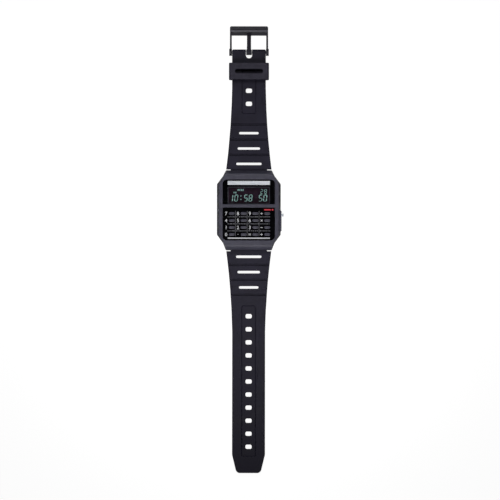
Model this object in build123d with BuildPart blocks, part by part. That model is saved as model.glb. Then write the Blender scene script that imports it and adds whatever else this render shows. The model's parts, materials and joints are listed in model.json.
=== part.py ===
from build123d import *
from math import cos, pi, sin
import os

# A calculator wristwatch in moulded resin, lying flat with its strap open.
# X runs across the watch, Y along the strap towards the buckle, Z up out of the face.
# The origin is the middle of the back cover's outer face. All lengths are in millimetres.
# The case is worked out from the battery outwards: module, cavity, walls, then lugs.

# Small rounds have few sides, and the larger ones and the hinges are true rounds
small_sides = 12
dimple_sides = 6
key_end_sides = 4
corner_sides = 3
opening_corner_sides = 1

# Battery and what holds it
battery_radius = 10.0
battery_height = 1.6
battery_gap = 0.15
battery_underside = 1.22
clip_sheet = 0.2
clip_width = 10.0
clip_gap = 0.02
clip_slot = 0.1
clip_wall = 0.2
contact_sheet = 0.1
contact_width = 3.0
contact_length = 8.0
contact_foot_share = 0.3
contact_clear = 0.05

# Module frame, battery holder and circuit board
holder_side_wall = 2.75
holder_end_wall = 0.25
holder_bar = 0.55
component_window_length = 6.95
component_window_margin = 0.75
component_window_side = 1.7
module_gap = 0.2
module_underside = 0.95
frame_wall = 0.55
board_gap = 0.05
board_thickness = 0.6
board_underside = 3.4
pocket_gap = 0.1

# Case height, walls and lugs
case_height = 8.2
case_underside = 0.25
side_wall = 4.15
end_wall = 2.3
tab_end_gap = 0.2
bar_inset = 2.3
lug_width = 2.45
neck_step = 1.55
upper_neck_inset = 3.1
lower_neck_inset = 3.9
upper_corner_inset = 7.5
lower_corner_inset = 8.4
underside_inset = 0.9
rim_side_inset = 1.15
rim_neck_inset = 0.5
bulge_height = 2.3

# Case ends, a flat deck, then a hood that slopes down over the strap's tab
upper_ridge_inset = 3.1
upper_bevel_inset = 1.84
upper_bevel_drop = 0.45
lower_ridge_inset = 2.7
lower_slope_bulge = 0.95
hood_lip = 0.5
hood_clear = 0.35
ridge_radius = 0.5
lug_chamfer = 0.9

# Openings in the face, one for the display and one for the keys, with a bar between them
face_overlap = 0.95
window_overlap = 1.35
keypad_overlap = 1.0
keypad_top_y = 1.4
cross_bar_width = 1.8
face_corner = 2.3
seat_height = 6.5
ledge_width = 1.45

# Room inside the case for the module
cavity_corner = 3.15
cavity_top = 5.95

# Side walls, with pockets on both sides and a guard round the right button
pocket_length = 4.3
pocket_first_margin = 1.8
pocket_last_margin = 0.9
pocket_depth = 1.0
pocket_bottom = 2.7
pocket_top = 6.7
left_pockets = 5
right_pockets = 2
guard_proud = 0.41
guard_above_button = 3.06
guard_end_inset = 1.1
guard_low = 2.3
guard_high = 6.3
guard_slope = 0.9

# Back cover, a pressed steel sheet held by four screws
cover_sheet = 0.5
cover_side_lap = 2.0
cover_end_lap = 1.7
cover_corner = 2.6
cover_gap = 0.08
pan_side_inset = 0.8
pan_end_inset = 0.7
pan_corner = 3.0
screw_inset = 1.6
screw_head_radius = 0.95
screw_head_height = 0.2
screw_radius = 0.6
screw_length = 2.2
screw_slot_width = 0.3
screw_slot_depth = 0.1
screw_hole_gap = 0.02
gasket_width = 0.76
gasket_height = 0.62
gasket_inset = 0.45
gasket_gap = 0.02

# Front window and key panel, both seated on the case's ledge
window_thickness = 1.2
window_chamfer = 0.15
panel_thickness = 1.0
face_gap = 0.08

# Keys, four by four
key_length = 3.24
key_width = 1.5
key_top = 8.0
key_edge = 0.25
key_gap = 0.1
key_flange = 0.3
key_flange_height = 0.45
key_flange_gap = 0.05
key_travel = 0.35
key_left_margin = 4.89
key_right_margin = 4.13
key_top_margin = 3.2
key_bottom_margin = 3.12
key_names = (
    ("key_7", "key_8", "key_9", "key_divide"),
    ("key_4", "key_5", "key_6", "key_multiply"),
    ("key_1", "key_2", "key_3", "key_minus"),
    ("key_0", "key_point", "key_equals", "key_plus"),
)

# Rubber key mat
mat_side_inset = 0.9
mat_end_inset = 0.6
mat_under_bar = 1.1
mat_corner = 1.5
mat_sheet = 0.35
dome_gap = 0.04
dome_taper = 12

# Display cell, two glass sheets over a reflector
glass_thickness = 0.5
glass_top = 5.9
glass_side_inset = 1.3
glass_end_inset = 1.3
glass_from_mat = 1.05
glass_step = 1.45
seal_gap = 0.05
reflector_thickness = 0.15
shelf_width = 0.5
zebra_width = 0.9
zebra_inset = 0.5

# Sounder on the inside of the cover, and its contact
buzzer_radius = 7.0
buzzer_sheet = 0.1
buzzer_rim = 1.5
buzzer_crystal_height = 0.15
buzzer_side_margin = 0.3
buzzer_end_margin = 2.0
buzzer_contact_width = 1.2
buzzer_contact_margin = 1.3
insulation_sheet_height = 0.08
insulation_gap = 0.02
insulation_side_inset = 1.9
insulation_end_inset = 1.5

# Small parts under the circuit board
chip_radius = 2.9
chip_height = 0.8
chip_inset = 4.7
crystal_radius = 1.0
crystal_length = 6.0
solder_gap = 0.05
coil_radius = 1.5
coil_height = 1.8
coil_side_inset = 5.3
coil_end_inset = 2.6
capacitor_length = 1.6
capacitor_width = 0.8
capacitor_height = 0.7
capacitor_side_inset = 5.9
capacitor_end_inset = 6.4
capacitor_pitch = 2.2
capacitor_count = 3

# Push buttons through the case's side walls
mode_y = -2.56
adjust_pocket = 2
button_height = 4.2
button_stem_radius = 0.5
button_bore_gap = 0.05
mode_head_radius = 0.9
mode_head_length = 0.5
mode_proud = 1.04
adjust_proud = 0.35
adjust_radius = 0.7
adjust_head_length = 0.9
button_travel = 0.35
clip_pocket_size = 2.5
clip_pocket_depth = 0.65
button_clip_size = 2.0
button_clip_sheet = 0.2
button_clip_gap = 0.05
button_seal_radius = 0.95
button_seal_length = 0.6
button_seal_gap = 0.03
head_edge = 0.15
side_contact_sheet = 0.12
side_contact_width = 2.0
side_contact_height = 1.0

# Strap, one moulding each side, and the sprung bars that hold it.
# The strap's places are measured from its shoulder, where it meets the case.
strap_underside = 0.3
strap_thickness = 3.2
strap_tail_thickness = 2.2
tab_slot_width = 19.9
tab_gap = 0.1
spring_bar_radius = 0.75
spring_bar_bore_gap = 0.06
spring_bar_end_gap = 0.15
pin_radius = 0.4
pin_gap = 0.03
pin_reach = 1.2
pin_hole_clear = 0.2
shoulder_gap = 0.5
slot_width = 1.35
slot_corner = 0.4
slot_start = 3.0
slot_pitch = 8.3
slot_length = 13.8
slot_shorter = 1.6
slot_count = 3
groove_width = 1.1
groove_floor = 0.75
groove_depth = 0.75
groove_count = 3
hole_length = 3.35
hole_width = 2.4
hole_corner = 0.5
hole_pitch = 7.06
panel_width = 7.9
panel_corner = 0.8
panel_depth = 0.5
panel_draft = 45
dimple_radius = 0.8
dimple_depth = 0.4
dimple_inset = 0.65
end_corner = 0.9
end_trim = 0.05

# Short strap, on the buckle's side
short_shoulder_width = 24.5
short_middle_width = 20.08
short_middle = 22.3
short_end_width = 18.2
short_straight = 43.9
short_thin = 33.9
short_length = 63.3
short_panel_start = 29.9
short_panel_length = 24.5
short_hole_start = 35.46
short_holes = 3
short_groove_start = 7.8
short_groove_pitch = 8.2
notch_width = 3.35
notch_length = 3.3

# Long strap, with the row of holes
long_shoulder_width = 24.3
long_middle_width = 19.9
long_middle = 21.5
long_straight_width = 17.8
long_straight = 43.4
long_thin = 33.9
long_length = 119.9
long_tail = 9.9
long_end_width = 12.96
long_end_corner = 2.4
long_panel_start = 29.3
long_panel_length = 81.8
long_hole_start = 35.17
long_holes = 11
long_groove_start = 7.4
long_groove_pitch = 8.1

# Keeper loop, with room for both straps
keeper_width = 21.6
keeper_length = 9.1
keeper_from_bar = 10.45
keeper_wall = 1.05
keeper_strap_gap = 0.2
keeper_spare = 0.5
keeper_corner = 1.3
keeper_inner_corner = 0.5
keeper_slot_length = 15.0
keeper_slot_width = 2.5
keeper_slot_corner = 1.0

# Buckle, a frame with two arms, a pin through its ears and a tongue
buckle_width = 20.64
buckle_inner_width = 18.6
buckle_length = 14.0
buckle_bar_depth = 4.95
buckle_corner = 0.8
buckle_drop = 1.0
buckle_arm_height = 1.9
buckle_face_height = 2.4
buckle_ridge_height = 2.75
buckle_ledge_height = 1.5
buckle_face_depth = 2.1
buckle_ledge_depth = 1.75
ear_radius = 1.9
ear_width = 21.4
ear_gap = 0.1
buckle_pin_end = 0.25
buckle_pin_gap = 0.02
tongue_width = 2.2
tongue_root_width = 3.0
tongue_root_radius = 1.5
tongue_tip_gap = 0.3
tongue_bend_length = 2.3
tongue_rise = 0.65
tongue_thickness = 1.1
tongue_tip_thickness = 0.6
tongue_seat_gap = 0.05
tongue_bore_gap = 0.06

# One length that every cut runs past the face that it starts from
overrun = 1.0

# Module and cavity, worked out from the battery
clip_reach = battery_radius + battery_gap + clip_wall + 2 * clip_slot + clip_sheet
frame_width = 2 * (battery_radius + battery_gap + holder_side_wall)
component_room = holder_bar + component_window_length + component_window_margin
frame_length = 2 * clip_reach + holder_end_wall + component_room
frame_top_y = frame_length / 2
cavity_width = frame_width + 2 * module_gap
cavity_length = frame_length + 2 * module_gap
battery_y = clip_reach + holder_end_wall - frame_top_y
battery_top = battery_underside + battery_height
clip_leg_y = clip_reach - clip_slot - clip_sheet / 2
board_top = board_underside + board_thickness
board_inset = frame_wall + board_gap

# Case, worked out from the cavity and the strap
case_width = cavity_width + 2 * side_wall
strap_top = strap_underside + strap_thickness
bar_height = strap_underside + strap_thickness / 2
tab_slot_y = cavity_length / 2 + end_wall
tab_width = tab_slot_width - 2 * tab_gap
bar_y = tab_slot_y + tab_end_gap + strap_thickness / 2
half_length = bar_y + bar_inset
shoulder_y = half_length + shoulder_gap
hood_underside = strap_top + hood_clear
hood_lip_height = hood_underside + hood_lip
lug_end_width = tab_slot_width + 2 * lug_width
neck_width = lug_end_width + 2 * neck_step
upper_corner_y = half_length - upper_corner_inset
lower_corner_y = half_length - lower_corner_inset
bar_bore = spring_bar_radius + spring_bar_bore_gap
pin_hole = pin_radius + pin_gap

# Face, keys, mat and display cell
face_width = cavity_width + 2 * face_overlap
window_top_y = cavity_length / 2 + window_overlap
window_bottom_y = keypad_top_y + cross_bar_width
keypad_bottom_y = cavity_length / 2 + keypad_overlap
key_columns = len(key_names[0])
key_rows = len(key_names)
key_pitch_x = (face_width - key_left_margin - key_right_margin) / (key_columns - 1)
key_pitch_y = (keypad_top_y + keypad_bottom_y - key_top_margin - key_bottom_margin) / (key_rows - 1)
flange_top = seat_height - key_flange_gap
flange_bottom = flange_top - key_flange_height
mat_width = frame_width - 2 * mat_side_inset
mat_top_y = keypad_top_y - mat_under_bar
mat_bottom_y = frame_top_y - mat_end_inset
mat_dome_top = flange_bottom - key_travel - dome_gap
glass_bottom = glass_top - glass_thickness
rear_glass_top = glass_bottom - seal_gap
rear_glass_bottom = rear_glass_top - glass_thickness
reflector_bottom = rear_glass_bottom - reflector_thickness
glass_width = frame_width - 2 * glass_side_inset
glass_high_y = frame_top_y - glass_end_inset
front_glass_low_y = mat_top_y + glass_from_mat
rear_glass_low_y = front_glass_low_y + glass_step

# Back cover, sounder and small parts
cover_seat = case_underside + cover_sheet
cover_width = cavity_width + 2 * cover_side_lap
cover_length = cavity_length + 2 * cover_end_lap
pan_width = cavity_width - 2 * pan_side_inset
pan_length = cavity_length - 2 * pan_end_inset
screw_x = cover_width / 2 - screw_inset
screw_y = cover_length / 2 - screw_inset
buzzer_crystal_radius = buzzer_radius - buzzer_rim
buzzer_x = pan_width / 2 - cover_sheet - buzzer_radius - buzzer_side_margin
buzzer_y = pan_length / 2 - cover_sheet - buzzer_radius - buzzer_end_margin
window_low_y = frame_top_y - component_window_margin - component_window_length
buzzer_contact_y = window_low_y + buzzer_contact_margin + buzzer_contact_width / 2
chip_y = frame_top_y - chip_inset
coil_x = frame_width / 2 - coil_side_inset
coil_y = frame_top_y - coil_end_inset
capacitor_x = capacitor_side_inset - frame_width / 2
capacitor_y = frame_top_y - capacitor_end_inset

# Side pockets and buttons
pocket_floor = case_width / 2 - pocket_depth
pocket_first_y = upper_corner_y - pocket_first_margin
pocket_last_y = pocket_last_margin - lower_corner_y
pocket_pitch = (pocket_first_y - pocket_last_y) / (left_pockets - 1)
guard_reach = case_width / 2 + guard_proud
guard_top_y = mode_y + guard_above_button
guard_bottom_y = lower_corner_y - guard_end_inset
mode_reach = guard_reach + mode_proud
adjust_y = pocket_first_y - adjust_pocket * pocket_pitch
adjust_reach = pocket_floor + adjust_proud
head_pocket_depth = adjust_head_length + button_travel - adjust_proud
button_inner = frame_width / 2 + button_travel + button_clip_gap
seal_room = pocket_floor - head_pocket_depth + cavity_width / 2 + clip_pocket_depth
button_seal_x = (seal_room - button_seal_length) / 2
button_clip_x = cavity_width / 2 + clip_pocket_depth - button_clip_gap

# Strap, keeper and buckle
tail_underside = strap_top - strap_tail_thickness
long_tail_top = strap_underside + strap_tail_thickness
buckle_bar_y = shoulder_y + short_length
short_end_y = buckle_bar_y + strap_thickness / 2 - end_trim
long_end_y = shoulder_y + long_length
keeper_y = buckle_bar_y - keeper_from_bar
keeper_inner_low = tail_underside - keeper_strap_gap
keeper_inner_high = strap_top + strap_tail_thickness + keeper_spare
buckle_top_y = buckle_bar_y + buckle_length
buckle_low = bar_height - buckle_drop
buckle_ridge_y = buckle_top_y - buckle_face_depth
crossbar_low_y = buckle_top_y - buckle_bar_depth
tongue_tip_y = crossbar_low_y + buckle_ledge_depth - tongue_tip_gap
tongue_bend_y = tongue_tip_y - tongue_bend_length


def keep(piece, name):
    piece.part.label = name
    export_step(piece.part, f"parts/{name}.step")


def rounded_outline(width, length, radius, sides, mode=Mode.ADD):
    """Draw a rectangle with rounded corners of a few sides each. With one side, they are cut off."""
    points = []
    for corner, (x, y) in enumerate(((1, 1), (-1, 1), (-1, -1), (1, -1))):
        for step in range(sides + 1):
            turn = pi / 2 * (corner + step / sides)
            across = x * (width / 2 - radius) + radius * cos(turn)
            points.append((across, y * (length / 2 - radius) + radius * sin(turn)))
    Polygon(*points, align=None, mode=mode)


def inner_outline(outset, mode=Mode.ADD):
    """Draw the outline of the room inside the case, moved outwards evenly."""
    width = cavity_width + 2 * outset
    length = cavity_length + 2 * outset
    rounded_outline(width, length, cavity_corner + outset, corner_sides, mode)


def small_round(radius, mode=Mode.ADD):
    """Draw a small round, such as a pin's, with few sides."""
    RegularPolygon(radius=radius, side_count=small_sides, mode=mode)


def case_outline(inset, neck_inset):
    """Draw the case's outline, drawn in at its sides and at its necks."""
    lug = lug_end_width / 2 - neck_inset
    neck = neck_width / 2 - neck_inset
    side = case_width / 2 - inset
    right = [
        (lug, -half_length),
        (neck, lower_neck_inset - half_length),
        (side, -lower_corner_y),
        (side, upper_corner_y),
        (neck, half_length - upper_neck_inset),
        (lug, half_length),
    ]
    left = [(-x, y) for x, y in reversed(right)]
    Polygon(*right, *left, align=None)


def face_opening(low_y, high_y, gap):
    """Draw one opening of the face, drawn in by a gap."""
    with Locations((0, (low_y + high_y) / 2)):
        Rectangle(face_width - 2 * gap, high_y - low_y - 2 * gap)


def window_outline(gap):
    face_opening(window_bottom_y, window_top_y, gap)
    fillet(vertices().group_by(Axis.Y)[-1], radius=face_corner - gap)


def keypad_outline(gap):
    face_opening(-keypad_bottom_y, keypad_top_y, gap)
    fillet(vertices().group_by(Axis.Y)[0], radius=face_corner - gap)


def key_outline(place, outset, mode=Mode.ADD):
    """Draw a key's outline with a half round at each end, moved outwards evenly."""
    radius = key_width / 2 + outset
    straight = (key_length - key_width) / 2
    points = []
    for end, middle in ((0, place[0] + straight), (1, place[0] - straight)):
        for step in range(key_end_sides + 1):
            turn = pi * (step / key_end_sides + end - 1 / 2)
            points.append((middle + radius * cos(turn), place[1] + radius * sin(turn)))
    Polygon(*points, align=None, mode=mode)


def key_places():
    """Give the sixteen key centres, row by row from the display."""
    first_x = key_left_margin - face_width / 2
    first_y = keypad_top_y - key_top_margin
    return [
        [(first_x + column * key_pitch_x, first_y - row * key_pitch_y) for column in range(key_columns)]
        for row in range(key_rows)
    ]


os.makedirs("parts", exist_ok=True)
all_keys = [place for row in key_places() for place in row]

# Case body
with BuildPart() as case_body:
    with BuildSketch(Plane.XY.offset(case_underside)):
        case_outline(underside_inset, 0)
    with BuildSketch(Plane.XY.offset(bulge_height)):
        case_outline(0, 0)
    loft(ruled=True)
    with BuildSketch(Plane.XY.offset(bulge_height)):
        case_outline(0, 0)
    with BuildSketch(Plane.XY.offset(case_height)):
        case_outline(rim_side_inset, rim_neck_inset)
    loft(ruled=True)
    # End profile, cut away above the sloping hoods and below the lugs
    with BuildSketch(Plane.YZ):
        lower_ridge = (lower_ridge_inset - half_length, case_height)
        with BuildLine():
            Polyline(
                (-half_length, hood_lip_height),
                (-half_length, case_underside + lug_chamfer),
                (-half_length + lug_chamfer, case_underside),
                (half_length - lug_chamfer, case_underside),
                (half_length, case_underside + lug_chamfer),
                (half_length, hood_lip_height),
                (half_length - upper_bevel_inset, case_height - upper_bevel_drop),
                (half_length - upper_ridge_inset, case_height),
                lower_ridge,
            )
            SagittaArc(lower_ridge, (-half_length, hood_lip_height), -lower_slope_bulge)
        make_face()
        fillet(vertices().group_by(Axis.Y)[-1].sort_by(Axis.X)[-1], radius=ridge_radius)
    extrude(amount=case_width, both=True, mode=Mode.INTERSECT)
    # Guard round the right button
    with BuildSketch(Plane.XY.offset(guard_low)):
        Polygon(
            (pocket_floor, guard_top_y),
            (guard_reach, guard_top_y - guard_slope),
            (guard_reach, guard_slope - guard_bottom_y),
            (pocket_floor, -guard_bottom_y),
            align=None,
        )
    extrude(amount=guard_high - guard_low)
    # Slots between the lugs for the strap's tabs
    with BuildSketch(Plane.XY.offset(hood_underside)):
        slot_depth = half_length - tab_slot_y + overrun
        slot_middle = tab_slot_y + slot_depth / 2
        with Locations((0, slot_middle), (0, -slot_middle)):
            Rectangle(tab_slot_width, slot_depth)
    extrude(amount=-hood_underside - overrun, mode=Mode.SUBTRACT)
    for side in (1, -1):
        with BuildSketch(Plane.YZ.offset(side * tab_slot_width / 2)):
            with Locations((bar_y, bar_height), (-bar_y, bar_height)):
                small_round(pin_hole)
        extrude(amount=side * (pin_reach + pin_hole_clear), mode=Mode.SUBTRACT)
    # Face openings, their ledges and the room behind them
    with BuildSketch(Plane.XY.offset(seat_height)):
        window_outline(0)
    extrude(amount=case_height - seat_height + overrun, mode=Mode.SUBTRACT)
    with BuildSketch(Plane.XY.offset(seat_height)):
        keypad_outline(0)
    extrude(amount=case_height - seat_height + overrun, mode=Mode.SUBTRACT)
    with BuildSketch(Plane.XY.offset(cavity_top - overrun)):
        face_opening(window_bottom_y, window_top_y, ledge_width)
        face_opening(-keypad_bottom_y, keypad_top_y, ledge_width)
    extrude(amount=seat_height - cavity_top + 2 * overrun, mode=Mode.SUBTRACT)
    with BuildSketch(Plane.XY.offset(-overrun)):
        inner_outline(0)
    extrude(amount=cavity_top + overrun, mode=Mode.SUBTRACT)
    # Seat for the back cover, groove for its gasket and its screw holes
    with BuildSketch(Plane.XY.offset(-overrun)):
        RectangleRounded(cover_width + 2 * cover_gap, cover_length + 2 * cover_gap, cover_corner)
    extrude(amount=cover_seat + overrun, mode=Mode.SUBTRACT)
    with BuildSketch(Plane.XY.offset(cover_seat)):
        inner_outline(gasket_inset + gasket_width + gasket_gap)
        inner_outline(gasket_inset - gasket_gap, Mode.SUBTRACT)
    extrude(amount=gasket_height + gasket_gap, mode=Mode.SUBTRACT)
    with BuildSketch(Plane.XY.offset(cover_seat)):
        with GridLocations(2 * screw_x, 2 * screw_y, 2, 2):
            small_round(screw_radius + screw_hole_gap)
    extrude(amount=screw_length, mode=Mode.SUBTRACT)
    # Pockets in the side walls
    for side, count in ((-1, left_pockets), (1, right_pockets)):
        with BuildSketch(Plane.YZ.offset(side * pocket_floor)):
            for index in range(count):
                with Locations((pocket_first_y - index * pocket_pitch, (pocket_bottom + pocket_top) / 2)):
                    Rectangle(pocket_length, pocket_top - pocket_bottom)
        extrude(amount=side * (case_width / 2 - pocket_floor + overrun), mode=Mode.SUBTRACT)
    # Bores for the two buttons, with pockets for their clips and seals
    for side, place, reach in ((1, mode_y, guard_reach + overrun), (-1, adjust_y, case_width / 2)):
        inner = cavity_width / 2
        with BuildSketch(Plane.YZ.offset(side * (inner - overrun))):
            with Locations((place, button_height)):
                small_round(button_stem_radius + button_bore_gap)
        extrude(amount=side * (reach - inner + overrun), mode=Mode.SUBTRACT)
        with BuildSketch(Plane.YZ.offset(side * (inner - overrun))):
            with Locations((place, button_height)):
                Rectangle(clip_pocket_size, clip_pocket_size)
        extrude(amount=side * (clip_pocket_depth + overrun), mode=Mode.SUBTRACT)
        with BuildSketch(Plane.YZ.offset(side * button_seal_x)):
            with Locations((place, button_height)):
                small_round(button_seal_radius)
        extrude(amount=side * button_seal_length, mode=Mode.SUBTRACT)
    with BuildSketch(Plane.YZ.offset(-pocket_floor)):
        with Locations((adjust_y, button_height)):
            small_round(adjust_radius + button_bore_gap)
    extrude(amount=head_pocket_depth, mode=Mode.SUBTRACT)
keep(case_body, "case_body")

# Back cover, gasket and screws
with BuildPart() as back_cover:
    with BuildSketch(Plane.XY.offset(case_underside)):
        RectangleRounded(cover_width, cover_length, cover_corner)
    extrude(amount=cover_sheet)
    with BuildSketch():
        RectangleRounded(pan_width, pan_length, pan_corner)
    extrude(amount=cover_seat)
    with BuildSketch(Plane.XY.offset(cover_sheet)):
        rounded_outline(
            pan_width - 2 * cover_sheet,
            pan_length - 2 * cover_sheet,
            pan_corner - cover_sheet,
            corner_sides,
        )
    extrude(amount=cover_seat, mode=Mode.SUBTRACT)
    with BuildSketch():
        with GridLocations(2 * screw_x, 2 * screw_y, 2, 2):
            small_round(screw_radius + screw_hole_gap)
    extrude(amount=cover_seat + overrun, mode=Mode.SUBTRACT)
keep(back_cover, "back_cover")

with BuildPart() as back_gasket:
    with BuildSketch(Plane.XY.offset(cover_seat)):
        inner_outline(gasket_inset + gasket_width)
        inner_outline(gasket_inset, Mode.SUBTRACT)
    extrude(amount=gasket_height)
keep(back_gasket, "back_gasket")

with BuildPart() as back_screws:
    with BuildSketch(Plane.XY.offset(case_underside)):
        with GridLocations(2 * screw_x, 2 * screw_y, 2, 2):
            small_round(screw_head_radius)
    extrude(amount=-screw_head_height)
    with BuildSketch(Plane.XY.offset(case_underside)):
        with GridLocations(2 * screw_x, 2 * screw_y, 2, 2):
            small_round(screw_radius)
    extrude(amount=screw_length)
    with BuildSketch(Plane.XY.offset(case_underside - screw_head_height)):
        with GridLocations(2 * screw_x, 2 * screw_y, 2, 2):
            for turn in (0, 90):
                Rectangle(2 * screw_radius, screw_slot_width, rotation=turn)
    extrude(amount=screw_slot_depth, mode=Mode.SUBTRACT)
keep(back_screws, "back_screws")

# Front window and key panel
with BuildPart() as display_window:
    with BuildSketch(Plane.XY.offset(seat_height)):
        window_outline(face_gap)
    extrude(amount=window_thickness)
    chamfer(display_window.faces().sort_by(Axis.Z)[-1].edges(), length=window_chamfer)
keep(display_window, "display_window")

with BuildPart() as keypad_panel:
    with BuildSketch(Plane.XY.offset(seat_height)):
        keypad_outline(face_gap)
        for place in all_keys:
            key_outline(place, key_gap, Mode.SUBTRACT)
    extrude(amount=panel_thickness)
keep(keypad_panel, "keypad_panel")

# Keys, each with a flange that holds it behind the panel
for names, places in zip(key_names, key_places()):
    for name, place in zip(names, places):
        with BuildPart() as key:
            with BuildSketch(Plane.XY.offset(flange_bottom)):
                with Locations(place):
                    Rectangle(key_length + 2 * key_flange, key_width + 2 * key_flange)
            extrude(amount=key_flange_height)
            with BuildSketch(Plane.XY.offset(flange_top)):
                key_outline(place, 0)
            extrude(amount=key_top - flange_top)
            chamfer(key.faces().sort_by(Axis.Z)[-1].edges(), length=key_edge)
        keep(key, name)

# Rubber mat, one dome under each key
with BuildPart() as key_mat:
    with BuildSketch(Plane.XY.offset(board_top)):
        with Locations((0, (mat_top_y - mat_bottom_y) / 2)):
            rounded_outline(mat_width, mat_top_y + mat_bottom_y, mat_corner, corner_sides)
    extrude(amount=mat_sheet)
    with BuildSketch(Plane.XY.offset(board_top + mat_sheet)):
        with Locations(*all_keys):
            Rectangle(key_length + key_flange, key_width + key_flange)
    extrude(amount=mat_dome_top - board_top - mat_sheet, taper=dome_taper)
keep(key_mat, "key_mat")

# Module frame, which carries the display cell, the mat and the circuit board
with BuildPart() as module_frame:
    with BuildSketch(Plane.XY.offset(board_underside)):
        inner_outline(-module_gap)
    extrude(amount=cavity_top - board_underside)
    with BuildSketch(Plane.XY.offset(board_underside - overrun)):
        inner_outline(-module_gap - frame_wall)
    extrude(amount=board_thickness + overrun, mode=Mode.SUBTRACT)
    with BuildSketch(Plane.XY.offset(reflector_bottom)):
        with Locations((0, (front_glass_low_y + glass_high_y) / 2)):
            Rectangle(glass_width + 2 * pocket_gap, glass_high_y - front_glass_low_y + 2 * pocket_gap)
    extrude(amount=cavity_top - reflector_bottom + overrun, mode=Mode.SUBTRACT)
    with BuildSketch(Plane.XY.offset(board_underside)):
        shelf_low_y = front_glass_low_y - pocket_gap
        shelf_high_y = glass_high_y - shelf_width
        with Locations((0, (shelf_low_y + shelf_high_y) / 2)):
            Rectangle(glass_width - 2 * shelf_width + 2 * pocket_gap, shelf_high_y - shelf_low_y)
    extrude(amount=reflector_bottom - board_underside + overrun, mode=Mode.SUBTRACT)
    with BuildSketch(Plane.XY.offset(board_underside)):
        with Locations((0, (mat_top_y - mat_bottom_y) / 2)):
            rounded_outline(
                mat_width + 2 * pocket_gap,
                mat_top_y + mat_bottom_y + 2 * pocket_gap,
                mat_corner + pocket_gap,
                corner_sides,
            )
    extrude(amount=cavity_top, mode=Mode.SUBTRACT)
    # Room above the domes for the flanges of pressed keys
    with BuildSketch(Plane.XY.offset(mat_dome_top)):
        with Locations((0, (mat_top_y - mat_bottom_y) / 2)):
            Rectangle(mat_width, mat_top_y + mat_bottom_y)
    extrude(amount=cavity_top, mode=Mode.SUBTRACT)
    # Recesses for the two side contacts that the buttons push
    for side, place in ((1, mode_y), (-1, adjust_y)):
        with BuildSketch(Plane.YZ.offset(side * (frame_width / 2 - side_contact_sheet))):
            with Locations((place, button_height)):
                Rectangle(side_contact_width + pocket_gap, side_contact_height + pocket_gap)
        extrude(amount=side * overrun, mode=Mode.SUBTRACT)
keep(module_frame, "module_frame")

with BuildPart() as side_contacts:
    for side, place in ((1, mode_y), (-1, adjust_y)):
        with BuildSketch(Plane.YZ.offset(side * (frame_width / 2 - side_contact_sheet))):
            with Locations((place, button_height)):
                Rectangle(side_contact_width, side_contact_height)
        extrude(amount=side * side_contact_sheet)
keep(side_contacts, "side_contacts")

# Display cell
for name, bottom, thickness, low_y in (
    ("display_front_glass", glass_bottom, glass_thickness, front_glass_low_y),
    ("display_rear_glass", rear_glass_bottom, glass_thickness, rear_glass_low_y),
    ("display_reflector", reflector_bottom, reflector_thickness, rear_glass_low_y),
):
    with BuildPart() as sheet:
        with BuildSketch(Plane.XY.offset(bottom)):
            with Locations((0, (low_y + glass_high_y) / 2)):
                Rectangle(glass_width, glass_high_y - low_y)
        extrude(amount=thickness)
    keep(sheet, name)

with BuildPart() as zebra_strip:
    with BuildSketch(Plane.XY.offset(board_top)):
        with Locations((0, (front_glass_low_y + rear_glass_low_y) / 2)):
            Rectangle(glass_width - 2 * zebra_inset, zebra_width)
    extrude(amount=glass_bottom - board_top)
keep(zebra_strip, "zebra_strip")

# Circuit board and the parts on its underside
with BuildPart() as circuit_board:
    with BuildSketch(Plane.XY.offset(board_underside)):
        inner_outline(-module_gap - board_inset)
    extrude(amount=board_thickness)
keep(circuit_board, "circuit_board")

with BuildPart() as chip:
    with BuildSketch(Plane.XY.offset(board_underside)):
        with Locations((0, chip_y)):
            Circle(chip_radius)
    extrude(amount=-chip_height)
keep(chip, "chip")

with BuildPart() as quartz_crystal:
    with BuildSketch(Plane.YZ.offset(-coil_x)):
        with Locations((coil_y, board_underside - solder_gap - crystal_radius)):
            small_round(crystal_radius)
    extrude(amount=crystal_length / 2, both=True)
keep(quartz_crystal, "quartz_crystal")

with BuildPart() as buzzer_coil:
    with BuildSketch(Plane.XY.offset(board_underside)):
        with Locations((coil_x, coil_y)):
            small_round(coil_radius)
    extrude(amount=-coil_height)
keep(buzzer_coil, "buzzer_coil")

with BuildPart() as capacitors:
    with BuildSketch(Plane.XY.offset(board_underside)):
        with Locations((capacitor_x, capacitor_y)):
            with GridLocations(capacitor_pitch, 0, capacitor_count, 1):
                Rectangle(capacitor_length, capacitor_width)
    extrude(amount=-capacitor_height)
keep(capacitors, "capacitors")

# Battery, its holder, its clip and its contact
with BuildPart() as battery_holder:
    with BuildSketch(Plane.XY.offset(module_underside)):
        inner_outline(-module_gap)
        with Locations((0, battery_y)):
            Circle(battery_radius + battery_gap, mode=Mode.SUBTRACT)
        with Locations((0, window_low_y + component_window_length / 2)):
            Rectangle(
                frame_width - 2 * component_window_side, component_window_length, mode=Mode.SUBTRACT
            )
        with Locations((0, battery_y - clip_leg_y), (0, battery_y + clip_leg_y)):
            Rectangle(clip_width + 2 * clip_slot, clip_sheet + 2 * clip_slot, mode=Mode.SUBTRACT)
    extrude(amount=board_underside - module_underside)
    with BuildSketch(Plane.XY.offset(module_underside)):
        with Locations((0, battery_y)):
            Rectangle(clip_width + 2 * clip_slot, 2 * clip_leg_y + clip_sheet + 2 * clip_slot)
    extrude(amount=battery_underside - module_underside, mode=Mode.SUBTRACT)
keep(battery_holder, "battery_holder")

with BuildPart() as battery:
    with BuildSketch(Plane.XY.offset(battery_underside)):
        with Locations((0, battery_y)):
            Circle(battery_radius)
    extrude(amount=battery_height)
keep(battery, "battery")

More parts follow.
